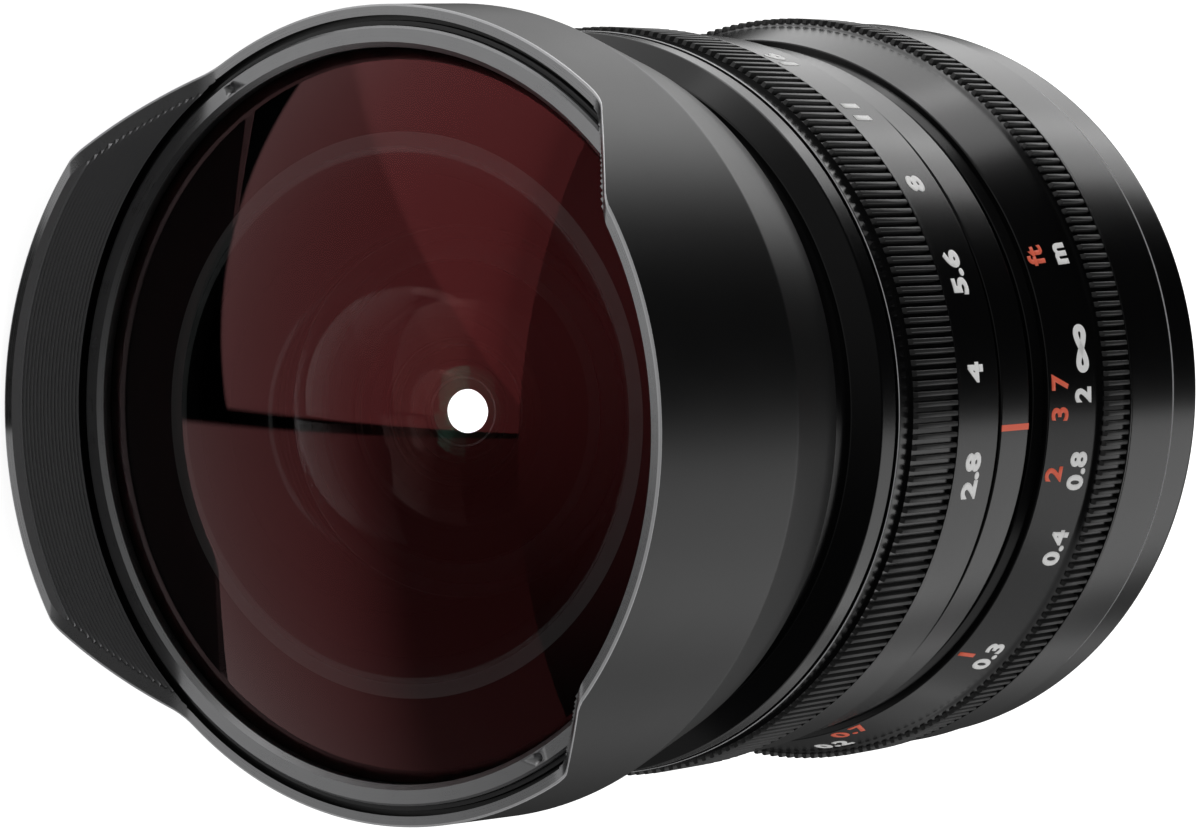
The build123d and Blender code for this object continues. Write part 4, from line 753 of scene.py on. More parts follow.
@dataclass
class FocusAssembly:
    """Focus ring with its grip and distance scales, in mm."""

    rear: float = 15.85
    front: float = 29.3
    bore: float = 34.15
    grip_radius: float = 37.2
    grip_rear: float = 16.2
    grip_front: float = 20.75
    root_drop: float = 0.47
    shoulder_radius: float = 36.35
    shoulder_front: float = 21.45
    scale_radius: float = 34.9
    scale_front: float = 28.2
    front_radius: float = 34.3
    chamfer_drop: float = 0.5
    front_bore: float = 32.0
    front_wall: float = 1.8
    teeth: int = 240
    metre_row: float = 23.3
    metre_height: float = 2.1
    far_sign_height: float = 2.0
    metre_weight: float = 0.065
    feet_row: float = 26.5
    feet_height: float = 2.2
    feet_weight: float = 0.045
    metres: Sequence[tuple[str, float]] = (
        ("m", 26.6), ("infinity", 11.6), ("2", 4.5), ("0.8", -7.3), ("0.4", -19.9), ("0.3", -41.0), ("0.2", -74.0))
    feet: Sequence[tuple[str, float]] = (
        ("ft", 26.8), ("7", 6.5), ("3", 1.7), ("2", -7.8), ("1", -41.2), ("0.7", -67.0))

    def band_radius(self, front: float) -> float:
        """Radius of the scale band at a front distance."""
        share = (front - self.shoulder_front) / (self.scale_front - self.shoulder_front)
        return self.shoulder_radius + (self.scale_radius - self.shoulder_radius) * share

    def ring(self) -> bpy.types.Object:
        """Ring body: rear land, root of the grip, cone with the scales and the chamfered front."""
        root = self.grip_radius - self.root_drop
        corners: list[Corner] = [
            (self.bore, self.rear, 0.05), (self.grip_radius, self.rear, 0.2),
            (self.grip_radius, self.grip_rear, 0.08), (root, self.grip_rear, 0.0), (root, self.grip_front, 0.0),
            (self.shoulder_radius, self.shoulder_front, 0.25), (self.scale_radius, self.scale_front, 0.12),
            (self.front_radius, self.scale_front + 0.05, 0.0),
            (self.front_radius - self.chamfer_drop, self.front, 0.12),
            (self.front_bore, self.front, 0.05), (self.front_bore, self.front - self.front_wall, 0.0),
            (self.bore, self.front - self.front_wall, 0.0)]
        piece = turned_piece("focus_ring_dressed", corners, Finishes.barrel)
        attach(piece, Body.FOCUS.value)
        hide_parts("focus_ring")
        return piece

    def build(self) -> None:
        """Build the ring, its ridges and its two scales."""
        self.ring()
        GripTeeth("focus_grip_ridges", self.grip_radius - self.root_drop, self.grip_radius, self.grip_rear,
                  self.grip_front, self.teeth).build(Finishes.grip, Body.FOCUS)
        marks = [ScaleMark(text, turn, self.metre_row,
                           self.far_sign_height if text == "infinity" else self.metre_height,
                           self.metre_weight)
                 for text, turn in self.metres]
        PrintedRow("metre_scale", marks, self.band_radius, Finishes.white, Body.FOCUS).build()
        marks = [ScaleMark(text, turn, self.feet_row, self.feet_height, self.feet_weight) for text, turn in self.feet]
        PrintedRow("feet_scale", marks, self.band_radius, Finishes.red, Body.FOCUS).build()
        give("helicoid_ring", Finishes.brass)
        give("focus_guide_pins", Finishes.steel)


@dataclass
class ApertureAssembly:
    """Aperture ring, the fixed index ring behind it and the iris drive, in mm."""

    rear: float = 38.05
    front: float = 55.85
    bore: float = 33.75
    scale_radius: float = 35.2
    grip_radius: float = 35.65
    grip_rear: float = 46.0
    grip_front: float = 53.4
    root_drop: float = 0.47
    recess_drop: float = 0.35
    front_land: float = 0.3
    teeth: int = 228
    stops: Sequence[tuple[str, float]] = (
        ("2.8", -6.8), ("4", 9.1), ("5.6", 24.6), ("8", 39.9), ("11", 55.1), ("16", 71.0))
    stop_row: float = 42.0
    stop_height: float = 2.45
    stop_weight: float = 0.075
    index_bore: float = 33.72
    index_radius: float = 34.5
    index_rear: float = 31.1
    index_front: float = 36.35
    groove_radius: float = 34.05
    groove_front: float = 37.7

    def ring(self) -> bpy.types.Object:
        """Ring body: scale band, rear land, root of the grip, recess and the front land."""
        root = self.grip_radius - self.root_drop
        land = self.front - self.front_land
        corners: list[Corner] = [
            (self.bore, self.rear, 0.05), (self.scale_radius, self.rear, 0.16),
            (self.scale_radius, self.grip_rear - 0.5, 0.1), (self.grip_radius - 0.06, self.grip_rear - 0.42, 0.08),
            (self.grip_radius - 0.06, self.grip_rear, 0.06),
            (root, self.grip_rear, 0.0), (root, self.grip_front, 0.0),
            (self.scale_radius - self.recess_drop, self.grip_front + 0.02, 0.0),
            (self.scale_radius - self.recess_drop / 2, land, 0.0), (self.scale_radius, land, 0.06),
            (self.scale_radius, self.front, 0.12), (self.bore, self.front, 0.05)]
        # The front edge of the ring gets a painted highlight.
        piece = turned_piece("aperture_ring_dressed", corners, Finishes.barrel,
                             cut=(self.front - 0.13, self.front - 0.01))
        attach(piece, Body.APERTURE.value)
        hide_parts("aperture_ring")
        return piece

    def index_ring(self) -> bpy.types.Object:
        """Fixed ring with a narrow groove in front of its mark."""
        corners: list[Corner] = [
            (self.index_bore, self.index_rear, 0.05), (self.index_radius, self.index_rear, 0.3),
            (self.index_radius, self.index_front, 0.25), (self.groove_radius, self.index_front + 0.02, 0.0),
            (self.groove_radius, self.groove_front, 0.05), (self.index_bore, self.groove_front, 0.05)]
        piece = turned_piece("index_ring_dressed", corners, Finishes.barrel)
        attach(piece, Body.FRONT.value)
        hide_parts("index_ring")
        return piece

    def index_line(self) -> bpy.types.Object:
        """Red line right across the index ring."""
        half_turn, steps, rear_gap, front_gap, proud, sunk = 0.5, 4, 0.15, 0.1, 0.03, 0.05
        rows = [[ring_point(self.index_radius + height, front, TOP_TURN + side * half_turn * (2 * step / steps - 1))
                 for height, side in ((proud, 1), (-sunk, -1)) for step in range(steps + 1)]
                for front in (self.index_rear + rear_gap, self.index_front - front_gap)]
        mesh = grid_mesh("index_line", rows, caps=True)
        mesh.materials.append(Finishes.red.material())
        piece = new_object("index_line", mesh)
        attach(piece, Body.FRONT.value)
        return piece

    def build(self) -> None:
        """Build both rings, the ridges, the stops and the iris parts."""
        self.ring()
        self.index_ring()
        self.index_line()
        GripTeeth("aperture_grip_ridges", self.grip_radius - self.root_drop, self.grip_radius, self.grip_rear,
                  self.grip_front, self.teeth).build(Finishes.grip, Body.APERTURE)
        marks = [ScaleMark(text, turn, self.stop_row, self.stop_height, self.stop_weight)
                 for text, turn in self.stops]
        PrintedRow("stop_scale", marks, lambda front: self.scale_radius, Finishes.white, Body.APERTURE).build()
        for node, finish in (("iris_drive_ring", Finishes.brass), ("aperture_link", Finishes.alloy),
                             ("iris_housing", Finishes.cell), ("iris_screws", Finishes.steel),
                             ("iris_keeper", Finishes.cell)):
            give(node, finish)
        for number in range(1, 8):
            give(f"iris_blade_{number}", Finishes.blade)


@dataclass
class FrontBarrel:
    """Main barrel with the collar and the neck behind the hood, in mm."""

    rear: float = 31.25
    radius: float = 33.7
    collar_rear: float = 56.2
    collar_radius: float = 35.05
    collar_edge: float = 58.5
    collar_front: float = 60.8
    collar_front_radius: float = 33.1
    neck_radius: float = 32.6
    front: float = 69.95
    bore: float = 31.0

    def build(self) -> None:
        """Build the barrel and dress the helicoid inside it."""
        corners: list[Corner] = [
            (self.bore, self.rear, 0.05), (self.radius, self.rear, 0.05), (self.radius, self.collar_rear, 0.0),
            (self.collar_radius, self.collar_rear, 0.12), (self.collar_radius, self.collar_edge, 0.16),
            (self.collar_front_radius, self.collar_front, 0.12), (self.neck_radius, self.collar_front + 0.02, 0.0),
            (self.neck_radius, self.front, 0.05), (self.bore, self.front, 0.05)]
        piece = turned_piece("front_barrel_dressed", corners, Finishes.barrel)
        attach(piece, Body.FRONT.value)
        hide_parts("front_barrel")
        give("inner_helicoid", Finishes.alloy)


@dataclass
class PetalHood:
    """Hood with two petals and ridged light traps on their inside, in mm.

    Foot and widest steps are (radius, front) offsets from the rear edge and from the widest edge. Runs are distances
    along the wall from there, wall shares are places between the widest edge and the cut, and break runs and steps
    round the outer edge of the cut, in multiples of its break. Turns are in degrees.
    """

    neck_radius: float = 32.62
    rear: float = 65.25
    rear_radius: float = 34.5
    edge: float = 75.95
    edge_radius: float = 37.25
    rim: float = 86.65
    rim_radius: float = 36.95
    tip: float = 96.5
    tip_radius: float = 36.65
    wall: float = 0.95
    land: float = 1.1
    step: float = 0.3
    trap_pitch: float = 0.5
    trap_depth: float = 0.34
    groove_radius: float = 35.95
    groove_floor: float = 85.75
    bore: float = 35.5
    bore_rear: float = 73.0
    foot_radius: float = 34.1
    lip_front: float = 67.4
    petal_half_angle: float = 35.7
    notch_half_angle: float = 54.0
    tip_round: float = 2.2
    notch_round: float = 2.6
    corner_rise: float = 0.2
    edge_break: float = 0.2
    foot_steps: Sequence[tuple[float, float]] = ((-0.3, 0.0), (-0.12, 0.06), (0.02, 0.25))
    flank_runs: Sequence[float] = (0.4, 3.0, 6.0, 9.0, 10.3)
    widest_steps: Sequence[tuple[float, float]] = ((-0.05, -0.17), (-0.012, 0.0))
    widest_runs: Sequence[float] = (0.2, 0.35)
    wall_shares: Sequence[float] = (0.35, 0.7)
    break_runs: Sequence[float] = (1.15, 1.0)
    break_steps: Sequence[tuple[float, float]] = ((0.16, 0.45), (0.5, 0.14), (1.0, 0.0), (1.15, 0.0))
    climb_turns: tuple[float, float] = (33.5, 58.5)
    fine_turn: float = 0.3
    coarse_turn: float = 1.5
    outline: list[tuple[float, float]] = field(default_factory=list)

    def cut_line(self) -> list[tuple[float, float]]:
        """The cut between the petals as (height, front) points with both corners rounded."""
        tip_height = self.tip_radius * math.cos(math.radians(self.petal_half_angle))
        notch_height = self.rim_radius * math.cos(math.radians(self.notch_half_angle))
        top = self.tip + self.corner_rise
        corners = [Vector((0.0, self.rim)), Vector((notch_height, self.rim)), Vector((tip_height, top)),
                   Vector((45.0, top))]
        points = [tuple(corners[0])]
        for index, radius in ((1, self.notch_round), (2, self.tip_round)):
            before = (corners[index - 1] - corners[index]).normalized()
            after = (corners[index + 1] - corners[index]).normalized()
            half = before.angle(after) / 2
            reach = radius / math.tan(half)
            middle = corners[index] + (before + after).normalized() * radius / math.sin(half)
            start, end = corners[index] + before * reach, corners[index] + after * reach
            for step in range(9):
                share = step / 8
                spoke = (start - middle).lerp(end - middle, share).normalized() * radius
                points.append(tuple(middle + spoke))
        points.append(tuple(corners[3]))
        return points

    def cut_at(self, height: float) -> float:
        """Front distance of the cut at a height above or below the axis."""
        height = abs(height)
        for (low, front_low), (high, front_high) in zip(self.outline, self.outline[1:]):
            if low <= height <= high:
                return front_low + (front_high - front_low) * (height - low) / max(high - low, 1e-9)
        return self.outline[-1][1]

    def inner_profile(self) -> list[tuple[float, float]]:
        """Inner side from the petal tip to the rear: land, saw-tooth ridges, rim groove and bore."""
        tip_inner = self.tip_radius - self.wall
        step_inner = tip_inner - self.step
        top, end = self.tip - self.land, self.rim + 0.35
        count = math.ceil((top - end) / self.trap_pitch)
        pitch = (top - end) / count
        points = [(tip_inner, self.tip), (tip_inner, top)]
        for index in range(count):
            front = top - index * pitch
            points += [(step_inner, front), (step_inner + self.trap_depth, front - pitch)]
        points += [(self.groove_radius, end), (self.groove_radius, self.groove_floor),
                   (self.bore, self.groove_floor), (self.bore, self.bore_rear), (self.foot_radius, self.lip_front),
                   (self.neck_radius, self.lip_front)]
        return points

    def outer_radius(self, front: float) -> float:
        """Outer radius at a front distance, in front of the widest edge."""
        share = (front - self.edge) / (self.tip - self.edge)
        return self.edge_radius + (self.tip_radius - self.edge_radius) * share

    def cut_crossing(self, high: tuple[float, float], low: tuple[float, float], sine: float) -> tuple[float, float]:
        """Where the run between two profile points meets the cut."""
        above, below = 0.0, 1.0
        for _ in range(18):
            middle = (above + below) / 2
            radius = high[0] + (low[0] - high[0]) * middle
            front = high[1] + (low[1] - high[1]) * middle
            if front > self.cut_at(radius * sine):
                above = middle
            else:
                below = middle
        return (high[0] + (low[0] - high[0]) * below, high[1] + (low[1] - high[1]) * below)

    def column(self, turn: float) -> list[tuple[float, float]]:
        """Section of the hood at a turn, from the neck up the outside and down the inside."""
        sine = math.sin(math.radians(turn))
        size = self.edge_break
        points = [(self.neck_radius, self.rear)]
        points += [(self.rear_radius + out, self.rear + run) for out, run in self.foot_steps]
        slope = (self.edge_radius - self.rear_radius) / (self.edge - self.rear)
        points += [(self.rear_radius + slope * run, self.rear + run) for run in self.flank_runs]
        points += [(self.edge_radius + out, self.edge + run) for out, run in self.widest_steps]
        points += [(self.outer_radius(self.edge + run), self.edge + run) for run in self.widest_runs]
        top = self.tip
        for _ in range(3):
            top = min(self.tip, self.cut_at(self.outer_radius(top) * sine))
        outer = self.outer_radius(top)
        for share in self.wall_shares:
            front = self.edge + (top - self.edge) * share
            points.append((self.outer_radius(front), front))
        points += [(self.outer_radius(top - size * run), top - size * run) for run in self.break_runs]
        for inward, drop in self.break_steps:
            radius = outer - size * inward
            points.append((radius, min(self.tip, self.cut_at(radius * sine)) - size * drop))
        inner = self.inner_profile()
        wall_inner = inner[0][0] if top > self.rim + 0.4 else self.groove_radius
        last = outer - size * self.break_steps[-1][0]
        for inward in (0.5, 1.0):
            radius = last + (wall_inner + 0.12 - outer + size * self.break_steps[-1][0]) * inward
            points.append((radius, min(self.tip, self.cut_at(radius * sine))))
        first = next(index for index, (radius, front) in enumerate(inner)
                     if front <= min(self.tip, self.cut_at(radius * sine)) + 1e-9)
        if first == 0:
            points += inner
        else:
            crossing = self.cut_crossing(inner[first - 1], inner[first], sine)
            points += [crossing] * first + inner[first:]
        return points

    def finish_index(self, face: bpy.types.MeshPolygon) -> int:
        """Slot of a face: 0 outside, 1 the petals' inside with a painted light grey sheen, 2 the outer edge of the
        cut with a painted highlight, 3 the cut itself.
        """
        radius, front = math.hypot(face.center.x, face.center.z) / MM, -face.center.y / MM
        depth = self.outer_radius(front) - radius
        top = min(self.tip, self.cut_at(face.center.z / MM))
        if front > top - 1.1 * self.edge_break and depth < 1.05 * self.edge_break:
            return 2
        if front > top - 0.15 and face.normal.y < -0.5:
            return 3
        return 1 if front > self.rim and depth > 0.5 * self.wall else 0

    def turns(self) -> list[float]:
        """Turns of the sections, close together where the cut climbs."""
        quarter: list[float] = []
        turn = 0.0
        while turn < 90.0:
            quarter.append(turn)
            turn += self.fine_turn if self.climb_turns[0] <= turn < self.climb_turns[1] else self.coarse_turn
        quarter.append(90.0)
        half = quarter + [180.0 - value for value in reversed(quarter[:-1])]
        return half + [value + 180.0 for value in half[1:-1]]

    def build(self) -> None:
        """Build the hood."""
        self.outline = self.cut_line()
        rows = [[ring_point(radius, front, turn) for radius, front in self.column(turn)] for turn in self.turns()]
        rows.append(rows[0])
        mesh = grid_mesh("petal_hood_dressed", rows)
        shade(mesh, 30.0)
        # Slot 1 paints a light grey sheen on the petals' inside and slot 2 a bright highlight on the cut's outer
        # edge.
        for finish in (Finishes.hood, Finishes.trap, Finishes.edge, Finishes.rim):
            mesh.materials.append(finish.material())
        for face in mesh.polygons:
            face.material_index = self.finish_index(face)
        piece = new_object(mesh.name, mesh)
        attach(piece, Body.FRONT.value)
        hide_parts("petal_hood")


@dataclass(frozen=True)
class Element:
    """One glass or cemented pair, in mm: vertex, curves, thickness, rim, and rear flat where it has one."""

    name: str
    nodes: tuple[str, ...]
    vertex: float
    front_curve: float
    thickness: float
    rear_curve: float
    rim: float
    finish: GlassFinish
    rear_flat: float | None = None
    back: GlassFinish | None = None


@dataclass
class Optics:
    """All glasses with inked edges, and the cells and rings that hold them, in mm.

    A hollow with a curve past ground_from has a bright ground band on its inked flat.
    """

    arc_steps: int = 40
    flat_land: float = 1.3
    ground_band: float = 1.2
    ground_from: float = 20.0
    elements: Sequence[Element] = (
        Element("front_element_dressed", ("front_element",), 95.116, 62.0, 3.0, 24.0, 33.4, Finishes.front_glass,
                78.27, Finishes.front_glass_back),
        Element("second_element_dressed", ("second_element",), 76.95, 36.0, 1.8, 13.5, 20.0, Finishes.second_glass,
                67.37, Finishes.second_glass_back),
        Element("third_element_dressed", ("third_element",), 64.248, 60.0, 1.6, 14.0, 13.5, Finishes.third_glass,
                58.67, Finishes.inner_glass),
        Element("front_pair_dressed", ("front_pair_crown", "front_pair_flint"), 57.659, 18.0, 8.48, -40.0, 10.0,
                Finishes.inner_glass),
        # The rear single element carries painted light: it glows white to rays coming through glass.
        Element("rear_single_dressed", ("rear_single_element",), 41.75, 25.0, 3.6, -25.0, 8.5, Finishes.window_glass_painted_glow),
        Element("middle_pair_dressed", ("middle_pair_crown", "middle_pair_flint"), 37.15, 20.0, 7.63, -60.0, 9.5,
                Finishes.rear_glass),
        Element("back_pair_dressed", ("back_pair_crown", "back_pair_flint"), 26.52, 40.0, 8.23, -45.0, 11.0,
                Finishes.rear_glass),
        Element("last_element_dressed", ("last_element",), 16.09, 45.0, 4.8, -60.0, 13.0, Finishes.rear_glass))

    @staticmethod
    def sag(curve: float, height: float) -> float:
        """How far a curved surface falls behind its vertex at a height."""
        rise = abs(curve) - math.sqrt(curve * curve - height * height)
        return rise if curve > 0 else -rise

    def profile(self, element: Element) -> tuple[list[tuple[float, float]], int, int]:
        """Profile of an element and the first and last rows of its inked edge."""
        rear_vertex = element.vertex - element.thickness
        rear_height = element.rim
        if element.rear_flat is not None:
            depth = rear_vertex - element.rear_flat
            rear_height = math.sqrt(element.rear_curve ** 2 - (element.rear_curve - depth) ** 2)
        front_arc, rear_arc = ([(height, vertex - self.sag(curve, height))
                                for height in (reach * math.sin(math.pi / 2 * step / self.arc_steps)
                                               for step in range(self.arc_steps + 1))]
                               for vertex, curve, reach in ((element.vertex, element.front_curve, element.rim),
                                                            (rear_vertex, element.rear_curve, rear_height)))
        rear_arc.reverse()
        edge = [] if element.rear_flat is None else [(element.rim, element.rear_flat),
                                                     (rear_height + self.flat_land, element.rear_flat)]
        return front_arc + edge + rear_arc, len(front_arc) - 1, len(front_arc) - 1 + len(edge) + 1

    def glass(self, element: Element) -> bpy.types.Object:
        """Build one element with a clear inside and an inked edge."""
        points, edge_start, edge_end = self.profile(element)
        mesh = spun_mesh(element.name, points, 192, closed=False)
        for finish in (element.finish, Finishes.ink, element.back or element.finish, Finishes.ground):
            mesh.materials.append(finish.material())
        front_edge = -points[edge_start][1] * MM
        rear_edge = -points[edge_end][1] * MM
        clear_height = points[edge_end][0] * MM
        for face in mesh.polygons:
            normal, place = face.normal, face.center
            height = math.hypot(place.x, place.z)
            on_rim = abs(normal.y) < 0.02 and height > element.rim * MM * 0.98
            on_flat = element.rear_flat is not None and normal.y > 0.999 and height > clear_height \
                and abs(place.y - rear_edge) < 1e-5 and place.y > front_edge
            face.material_index = 1 if on_rim or on_flat else 2 if normal.y > 0 else 0
            if on_flat and element.rear_curve > self.ground_from and height < clear_height + self.ground_band * MM:
                face.material_index = 3
        shade(mesh, 20.0)
        piece = new_object(element.name, mesh)
        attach(piece, Body.FRONT.value)
        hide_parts(*element.nodes)
        return piece

    def build(self) -> None:
        """Build the glasses and dress what holds them."""
        for element in self.elements:
            self.glass(element)
        smooth_copy("front_cell", Finishes.ring)
        smooth_copy("front_retaining_ring", Finishes.rim)
        for node in ("front_group_cell", "second_element_ring", "third_element_ring", "front_pair_ring",
                     "rear_group_cell", "rear_retaining_ring", "rear_spacer_1", "rear_spacer_2", "rear_spacer_3"):
            smooth_copy(node, Finishes.cell)
        give("front_seal", Finishes.rubber)


# Studio

def place_object(name: str, data: bpy.types.ID, place: Sequence[float], axes: Sequence[Vector]) -> bpy.types.Object:
    """Put a lamp or a camera in the scene.

    Args:
        name: Name of the object.
        data: Its lamp or camera.
        place: Where it stands, in metres.
        axes: Its own three axes in the scene.

    Returns:
        The object.
    """
    holder = bpy.data.objects.new(name, data)
    bpy.context.scene.collection.objects.link(holder)
    holder.matrix_world = Matrix.Translation(place) @ Matrix(axes).transposed().to_4x4()
    return holder


@dataclass
class Panel:
    """A soft light panel: middle and aim in metres, size in metres, and radiance."""

    name: str
    middle: tuple[float, float, float]
    facing: tuple[float, float, float]
    size: tuple[float, float]
    radiance: float

    def build(self) -> bpy.types.Object:
        """Hang the panel with its long side level."""
        lamp = bpy.data.lights.new(self.name, "AREA")
        lamp.shape = "RECTANGLE"
        lamp.size, lamp.size_y = self.size
        lamp.energy = self.radiance * math.pi * self.size[0] * self.size[1]
        back = -Vector(self.facing).normalized()
        across = Vector((0.0, 0.0, 1.0)).cross(back).normalized()
        return place_object(self.name, lamp, self.middle, (across, back.cross(across), back))


@dataclass(frozen=True)
class FloorPaintedLight:
    """Painted light that the floor shows only to gloss and glass: painted bright sheets round a dark strip and a
    painted shadow pool under the lens.

    A line is its offset in metres and its slopes across (+X) and ahead (-Y), with the bright side positive. A fade
    is its middle in metres, the distances from there at which it starts and ends, and its levels at both. The
    behind and rear steps are the places in metres at which a step starts and ends, with levels where it has them.
    """

    near_edge: Line = (-0.1060, -0.30, 1.0)
    strip_left: Line = (-0.0049, -1.0, 0.0755)
    strip_right: Line = (0.0050, 1.0, -0.09)
    side_front: Line = (-0.050, -1.0, 0.0)
    side_rear: Line = (-0.040, -1.0, 0.20)
    right_near: Line = (-0.097, 0.0, 1.0)
    right_side: Line = (-0.0768, 0.84, 1.0)
    left_fade: tuple[float, ...] = (-0.05, -0.095, 0.05, 0.9, 0.62, 0.40)
    right_fade: tuple[float, ...] = (0.030, -0.105, 0.012, 0.10, 0.50, 0.13)
    edge: float = 0.0012
    side_edge: float = 0.012
    side_level: float = 1.5
    behind: tuple[float, float] = (-0.05, 0.05)
    rear_along: tuple[float, float] = (-0.04, 0.02)
    rear_across: tuple[float, ...] = (0.05, 0.30, 0.05, 0.35)
    rear_side: tuple[float, float] = (0.0, 0.03)

    def level(self, tree: bpy.types.NodeTree) -> bpy.types.NodeSocket:
        """Build the pattern's nodes.

        Args:
            tree: Tree of the floor's material.

        Returns:
            The painted brightness at a place on the floor.
        """
        place = add_node(tree, "ShaderNodeTexCoord").outputs["Object"]
        parts = add_node(tree, "ShaderNodeSeparateXYZ", {0: place}).outputs
        across, along = parts["X"], parts["Y"]
        join = partial(math_node, tree)
        ahead = join("MULTIPLY", along, -1.0)

        def ramp(value: object, low: float, high: float, start: float = 0.0,
                 end: float = 1.0) -> bpy.types.NodeSocket:
            """A soft step: start below low, end above high."""
            return add_node(tree, "ShaderNodeMapRange", {"Value": value, "From Min": low, "From Max": high,
                                                         "To Min": start, "To Max": end},
                            interpolation_type="SMOOTHSTEP").outputs["Result"]

        def line(offset: float, slope_across: float, slope_ahead: float) -> bpy.types.NodeSocket:
            """Signed distance in metres of a place from a straight line."""
            return join("MULTIPLY_ADD", ahead, slope_ahead, join("MULTIPLY_ADD", across, slope_across, offset))

        def fade(middle_across: float, middle_along: float, *steps: float) -> bpy.types.NodeSocket:
            """Level by the distance from a point."""
            squares = [join("POWER", join("ABSOLUTE", join("SUBTRACT", value, middle)), 2.0)
                       for value, middle in ((across, middle_across), (along, middle_along))]
            return ramp(join("SQRT", join("ADD", *squares)), *steps)

        # Painted bright sheets and the painted dark strip and pool between them, all seen only in gloss and glass.
        left_front = join("MULTIPLY", ramp(line(*self.near_edge), 0.0, self.edge),
                          ramp(line(*self.strip_left), 0.0, self.edge))
        left_side = ramp(join("MINIMUM", line(*self.side_front), line(*self.side_rear)), 0.0, self.side_edge)
        left = join("MAXIMUM", left_front, join("MULTIPLY", left_side, self.side_level))
        left_level = join("MAXIMUM", fade(*self.left_fade), ramp(along, *self.behind))
        right_sheet = join("MAXIMUM", line(*self.right_near), line(*self.right_side))
        right = join("MULTIPLY", ramp(right_sheet, 0.0, self.edge), ramp(line(*self.strip_right), 0.0, self.edge))
        rear = join("MULTIPLY", ramp(along, *self.rear_along), ramp(across, *self.rear_across))
        shown = join("MULTIPLY_ADD", left, left_level, join("MULTIPLY", right, fade(*self.right_fade)))
        return join("MAXIMUM", shown, join("MULTIPLY", rear, ramp(across, *self.rear_side)))


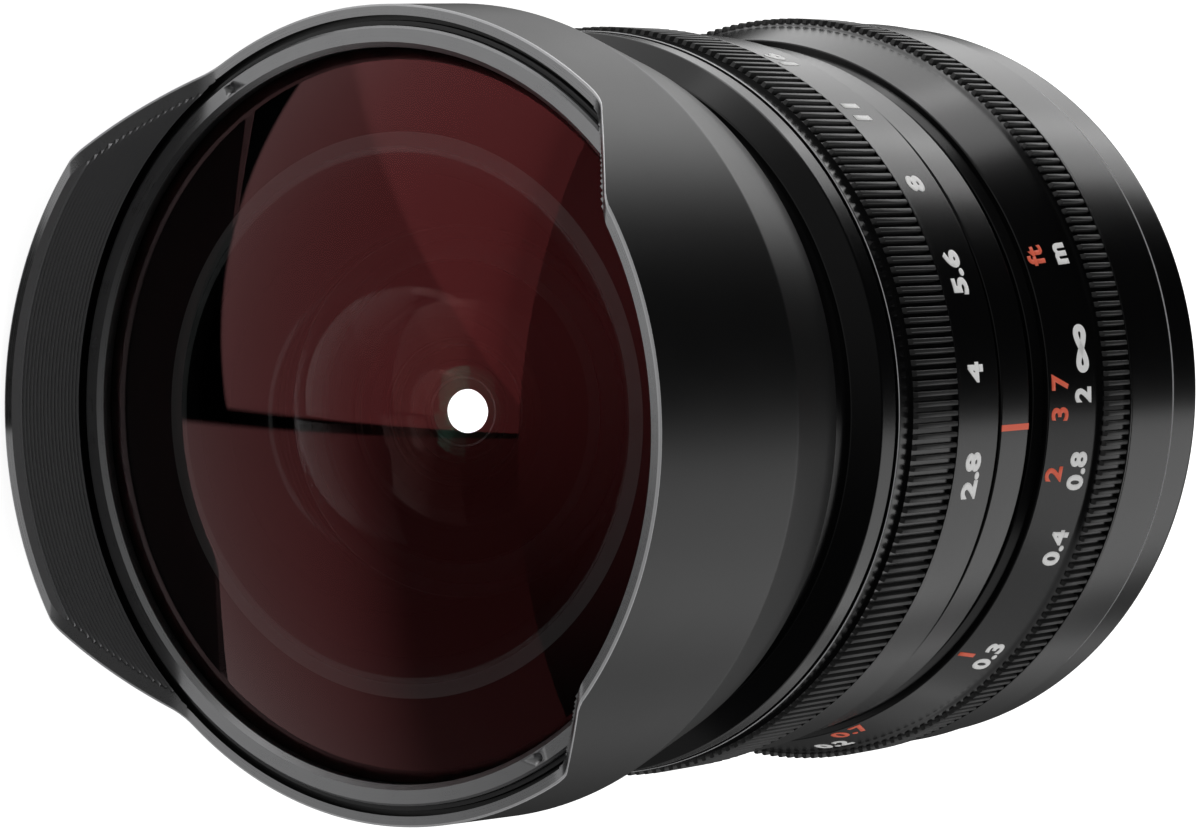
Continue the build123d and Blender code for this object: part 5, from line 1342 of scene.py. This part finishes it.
@dataclass
class Studio:
    """Camera, floor, panels and room."""

    camera_place: tuple[float, float, float] = (-0.0401, -0.4418, 0.2698)
    right: tuple[float, float, float] = (-0.0523, 0.5729, 0.8180)
    down: tuple[float, float, float] = (0.9948, -0.0418, 0.0929)
    focal: float = 149.67
    floor_height: float = -0.0376
    floor_half: float = 12.0
    floor_tone: float = 0.80
    floor_shine: float = 0.85
    bright_side: tuple[float, float, float] = (-0.50, -0.86, 0.10)
    room_gloss: float = 0.30
    room_light: float = 0.45
    panels: Sequence[Panel] = (
        Panel("left_panel", (-0.50, 0.62, 0.075), (1.0, 0.0, 0.0), (1.5, 0.225), 1.5),
        Panel("side_panel", (0.30, 0.22, 0.24), (-1.0, 0.0, 0.0), (0.50, 0.48), 0.45),
        Panel("rear_panel", (0.265, 0.62, 0.62), (0.0, -1.0, 0.0), (0.44, 0.90), 1.0))

    def camera(self) -> None:
        """Set the camera where the photograph was taken from."""
        right, down = Vector(self.right).normalized(), Vector(self.down)
        down = (down - right * down.dot(right)).normalized()
        camera = bpy.data.cameras.new("photo_camera")
        camera.lens, camera.sensor_width, camera.sensor_fit = self.focal, 36.0, "HORIZONTAL"
        camera.clip_start, camera.clip_end = 0.02, 50.0
        bpy.context.scene.camera = place_object("photo_camera", camera, self.camera_place,
                                                (right, -down, right.cross(-down)))

    @staticmethod
    def ray_kinds(tree: bpy.types.NodeTree) -> tuple[bpy.types.NodeSocket, ...]:
        """Sockets that are one for camera rays, for rays in gloss or glass, and for diffuse rays."""
        path = add_node(tree, "ShaderNodeLightPath").outputs
        return (path["Is Camera Ray"], math_node(tree, "MAXIMUM", path["Is Glossy Ray"], path["Is Transmission Ray"]),
                path["Is Diffuse Ray"])

    def floor_material(self) -> bpy.types.Material:
        """Pale floor that stays white to the camera and keeps a soft shadow under the lens; to gloss and glass it is
        black with painted bright sheets and a painted shadow pool under the lens.
        """
        material, tree, shader = new_material("pale_floor")
        camera_ray, in_glass, _ = self.ray_kinds(tree)
        # The floor glows white to the camera, and to gloss and glass with the painted sheets and shadow pool.
        glow = math_node(tree, "MAXIMUM", math_node(tree, "MULTIPLY", camera_ray, self.floor_shine),
                         math_node(tree, "MULTIPLY", in_glass, FloorPaintedLight().level(tree)))
        # To gloss and glass the floor's lit colour is black, so they see only the painted pattern.
        paint = add_node(tree, "ShaderNodeMix", {6: (*[self.floor_tone] * 3, 1.0), 7: (0.0, 0.0, 0.0, 1.0),
                                                 "Factor": in_glass}, data_type="RGBA")
        set_inputs(tree, shader, {"Roughness": 0.9, "Specular IOR Level": 0.0, "Emission Color": (1.0, 1.0, 1.0, 1.0),
                                  "Base Color": paint.outputs[2], "Emission Strength": glow})
        return material

    def floor(self) -> None:
        """Lay the floor just under the lens."""
        half, low = self.floor_half, self.floor_height
        mesh = bpy.data.meshes.new("floor")
        mesh.from_pydata([(-half, -half, low), (half, -half, low), (half, half, low), (-half, half, low)], [],
                         [[0, 1, 2, 3]])
        mesh.materials.append(self.floor_material())
        new_object("floor", mesh)

    def room(self) -> None:
        """White room to the camera, a dim one in gloss and glass, soft light for the rest."""
        world = bpy.data.worlds.new("room")
        bpy.context.scene.world = world
        world.use_nodes = True
        tree = world.node_tree
        camera_ray, in_glass, diffuse_ray = self.ray_kinds(tree)
        direction = add_node(tree, "ShaderNodeTexCoord").outputs["Generated"]
        toward = add_node(tree, "ShaderNodeVectorMath", {0: direction, 1: self.bright_side},
                          operation="DOT_PRODUCT").outputs["Value"]
        ahead = math_node(tree, "POWER", math_node(tree, "MAXIMUM", toward, 0.0), 2.0)
        mirrored = math_node(tree, "MULTIPLY", in_glass, math_node(tree, "MULTIPLY", ahead, self.room_gloss))
        spread = math_node(tree, "MULTIPLY", diffuse_ray, self.room_light)
        total = math_node(tree, "MAXIMUM", camera_ray, math_node(tree, "MAXIMUM", mirrored, spread))
        set_inputs(tree, tree.nodes["Background"], {"Color": (1.0, 1.0, 1.0, 1.0), "Strength": total})

    def build(self) -> None:
        """Set up camera, floor, panels and room."""
        self.camera()
        self.floor()
        self.room()
        for panel in self.panels:
            panel.build()
        bpy.context.scene.view_settings.view_transform = "Standard"


def main() -> None:
    """Dress the whole lens and set up the studio, logging each assembly as it is built."""
    logging.basicConfig(level=logging.INFO, format="%(name)s: %(message)s")
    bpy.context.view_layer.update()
    assemblies = (Studio(), MountAssembly(), FocusAssembly(), ApertureAssembly(), FrontBarrel(), PetalHood(),
                  Optics())
    for assembly in assemblies:
        assembly.build()
        LOG.info("built %s", type(assembly).__name__)


if __name__ == "__main__":
    main()
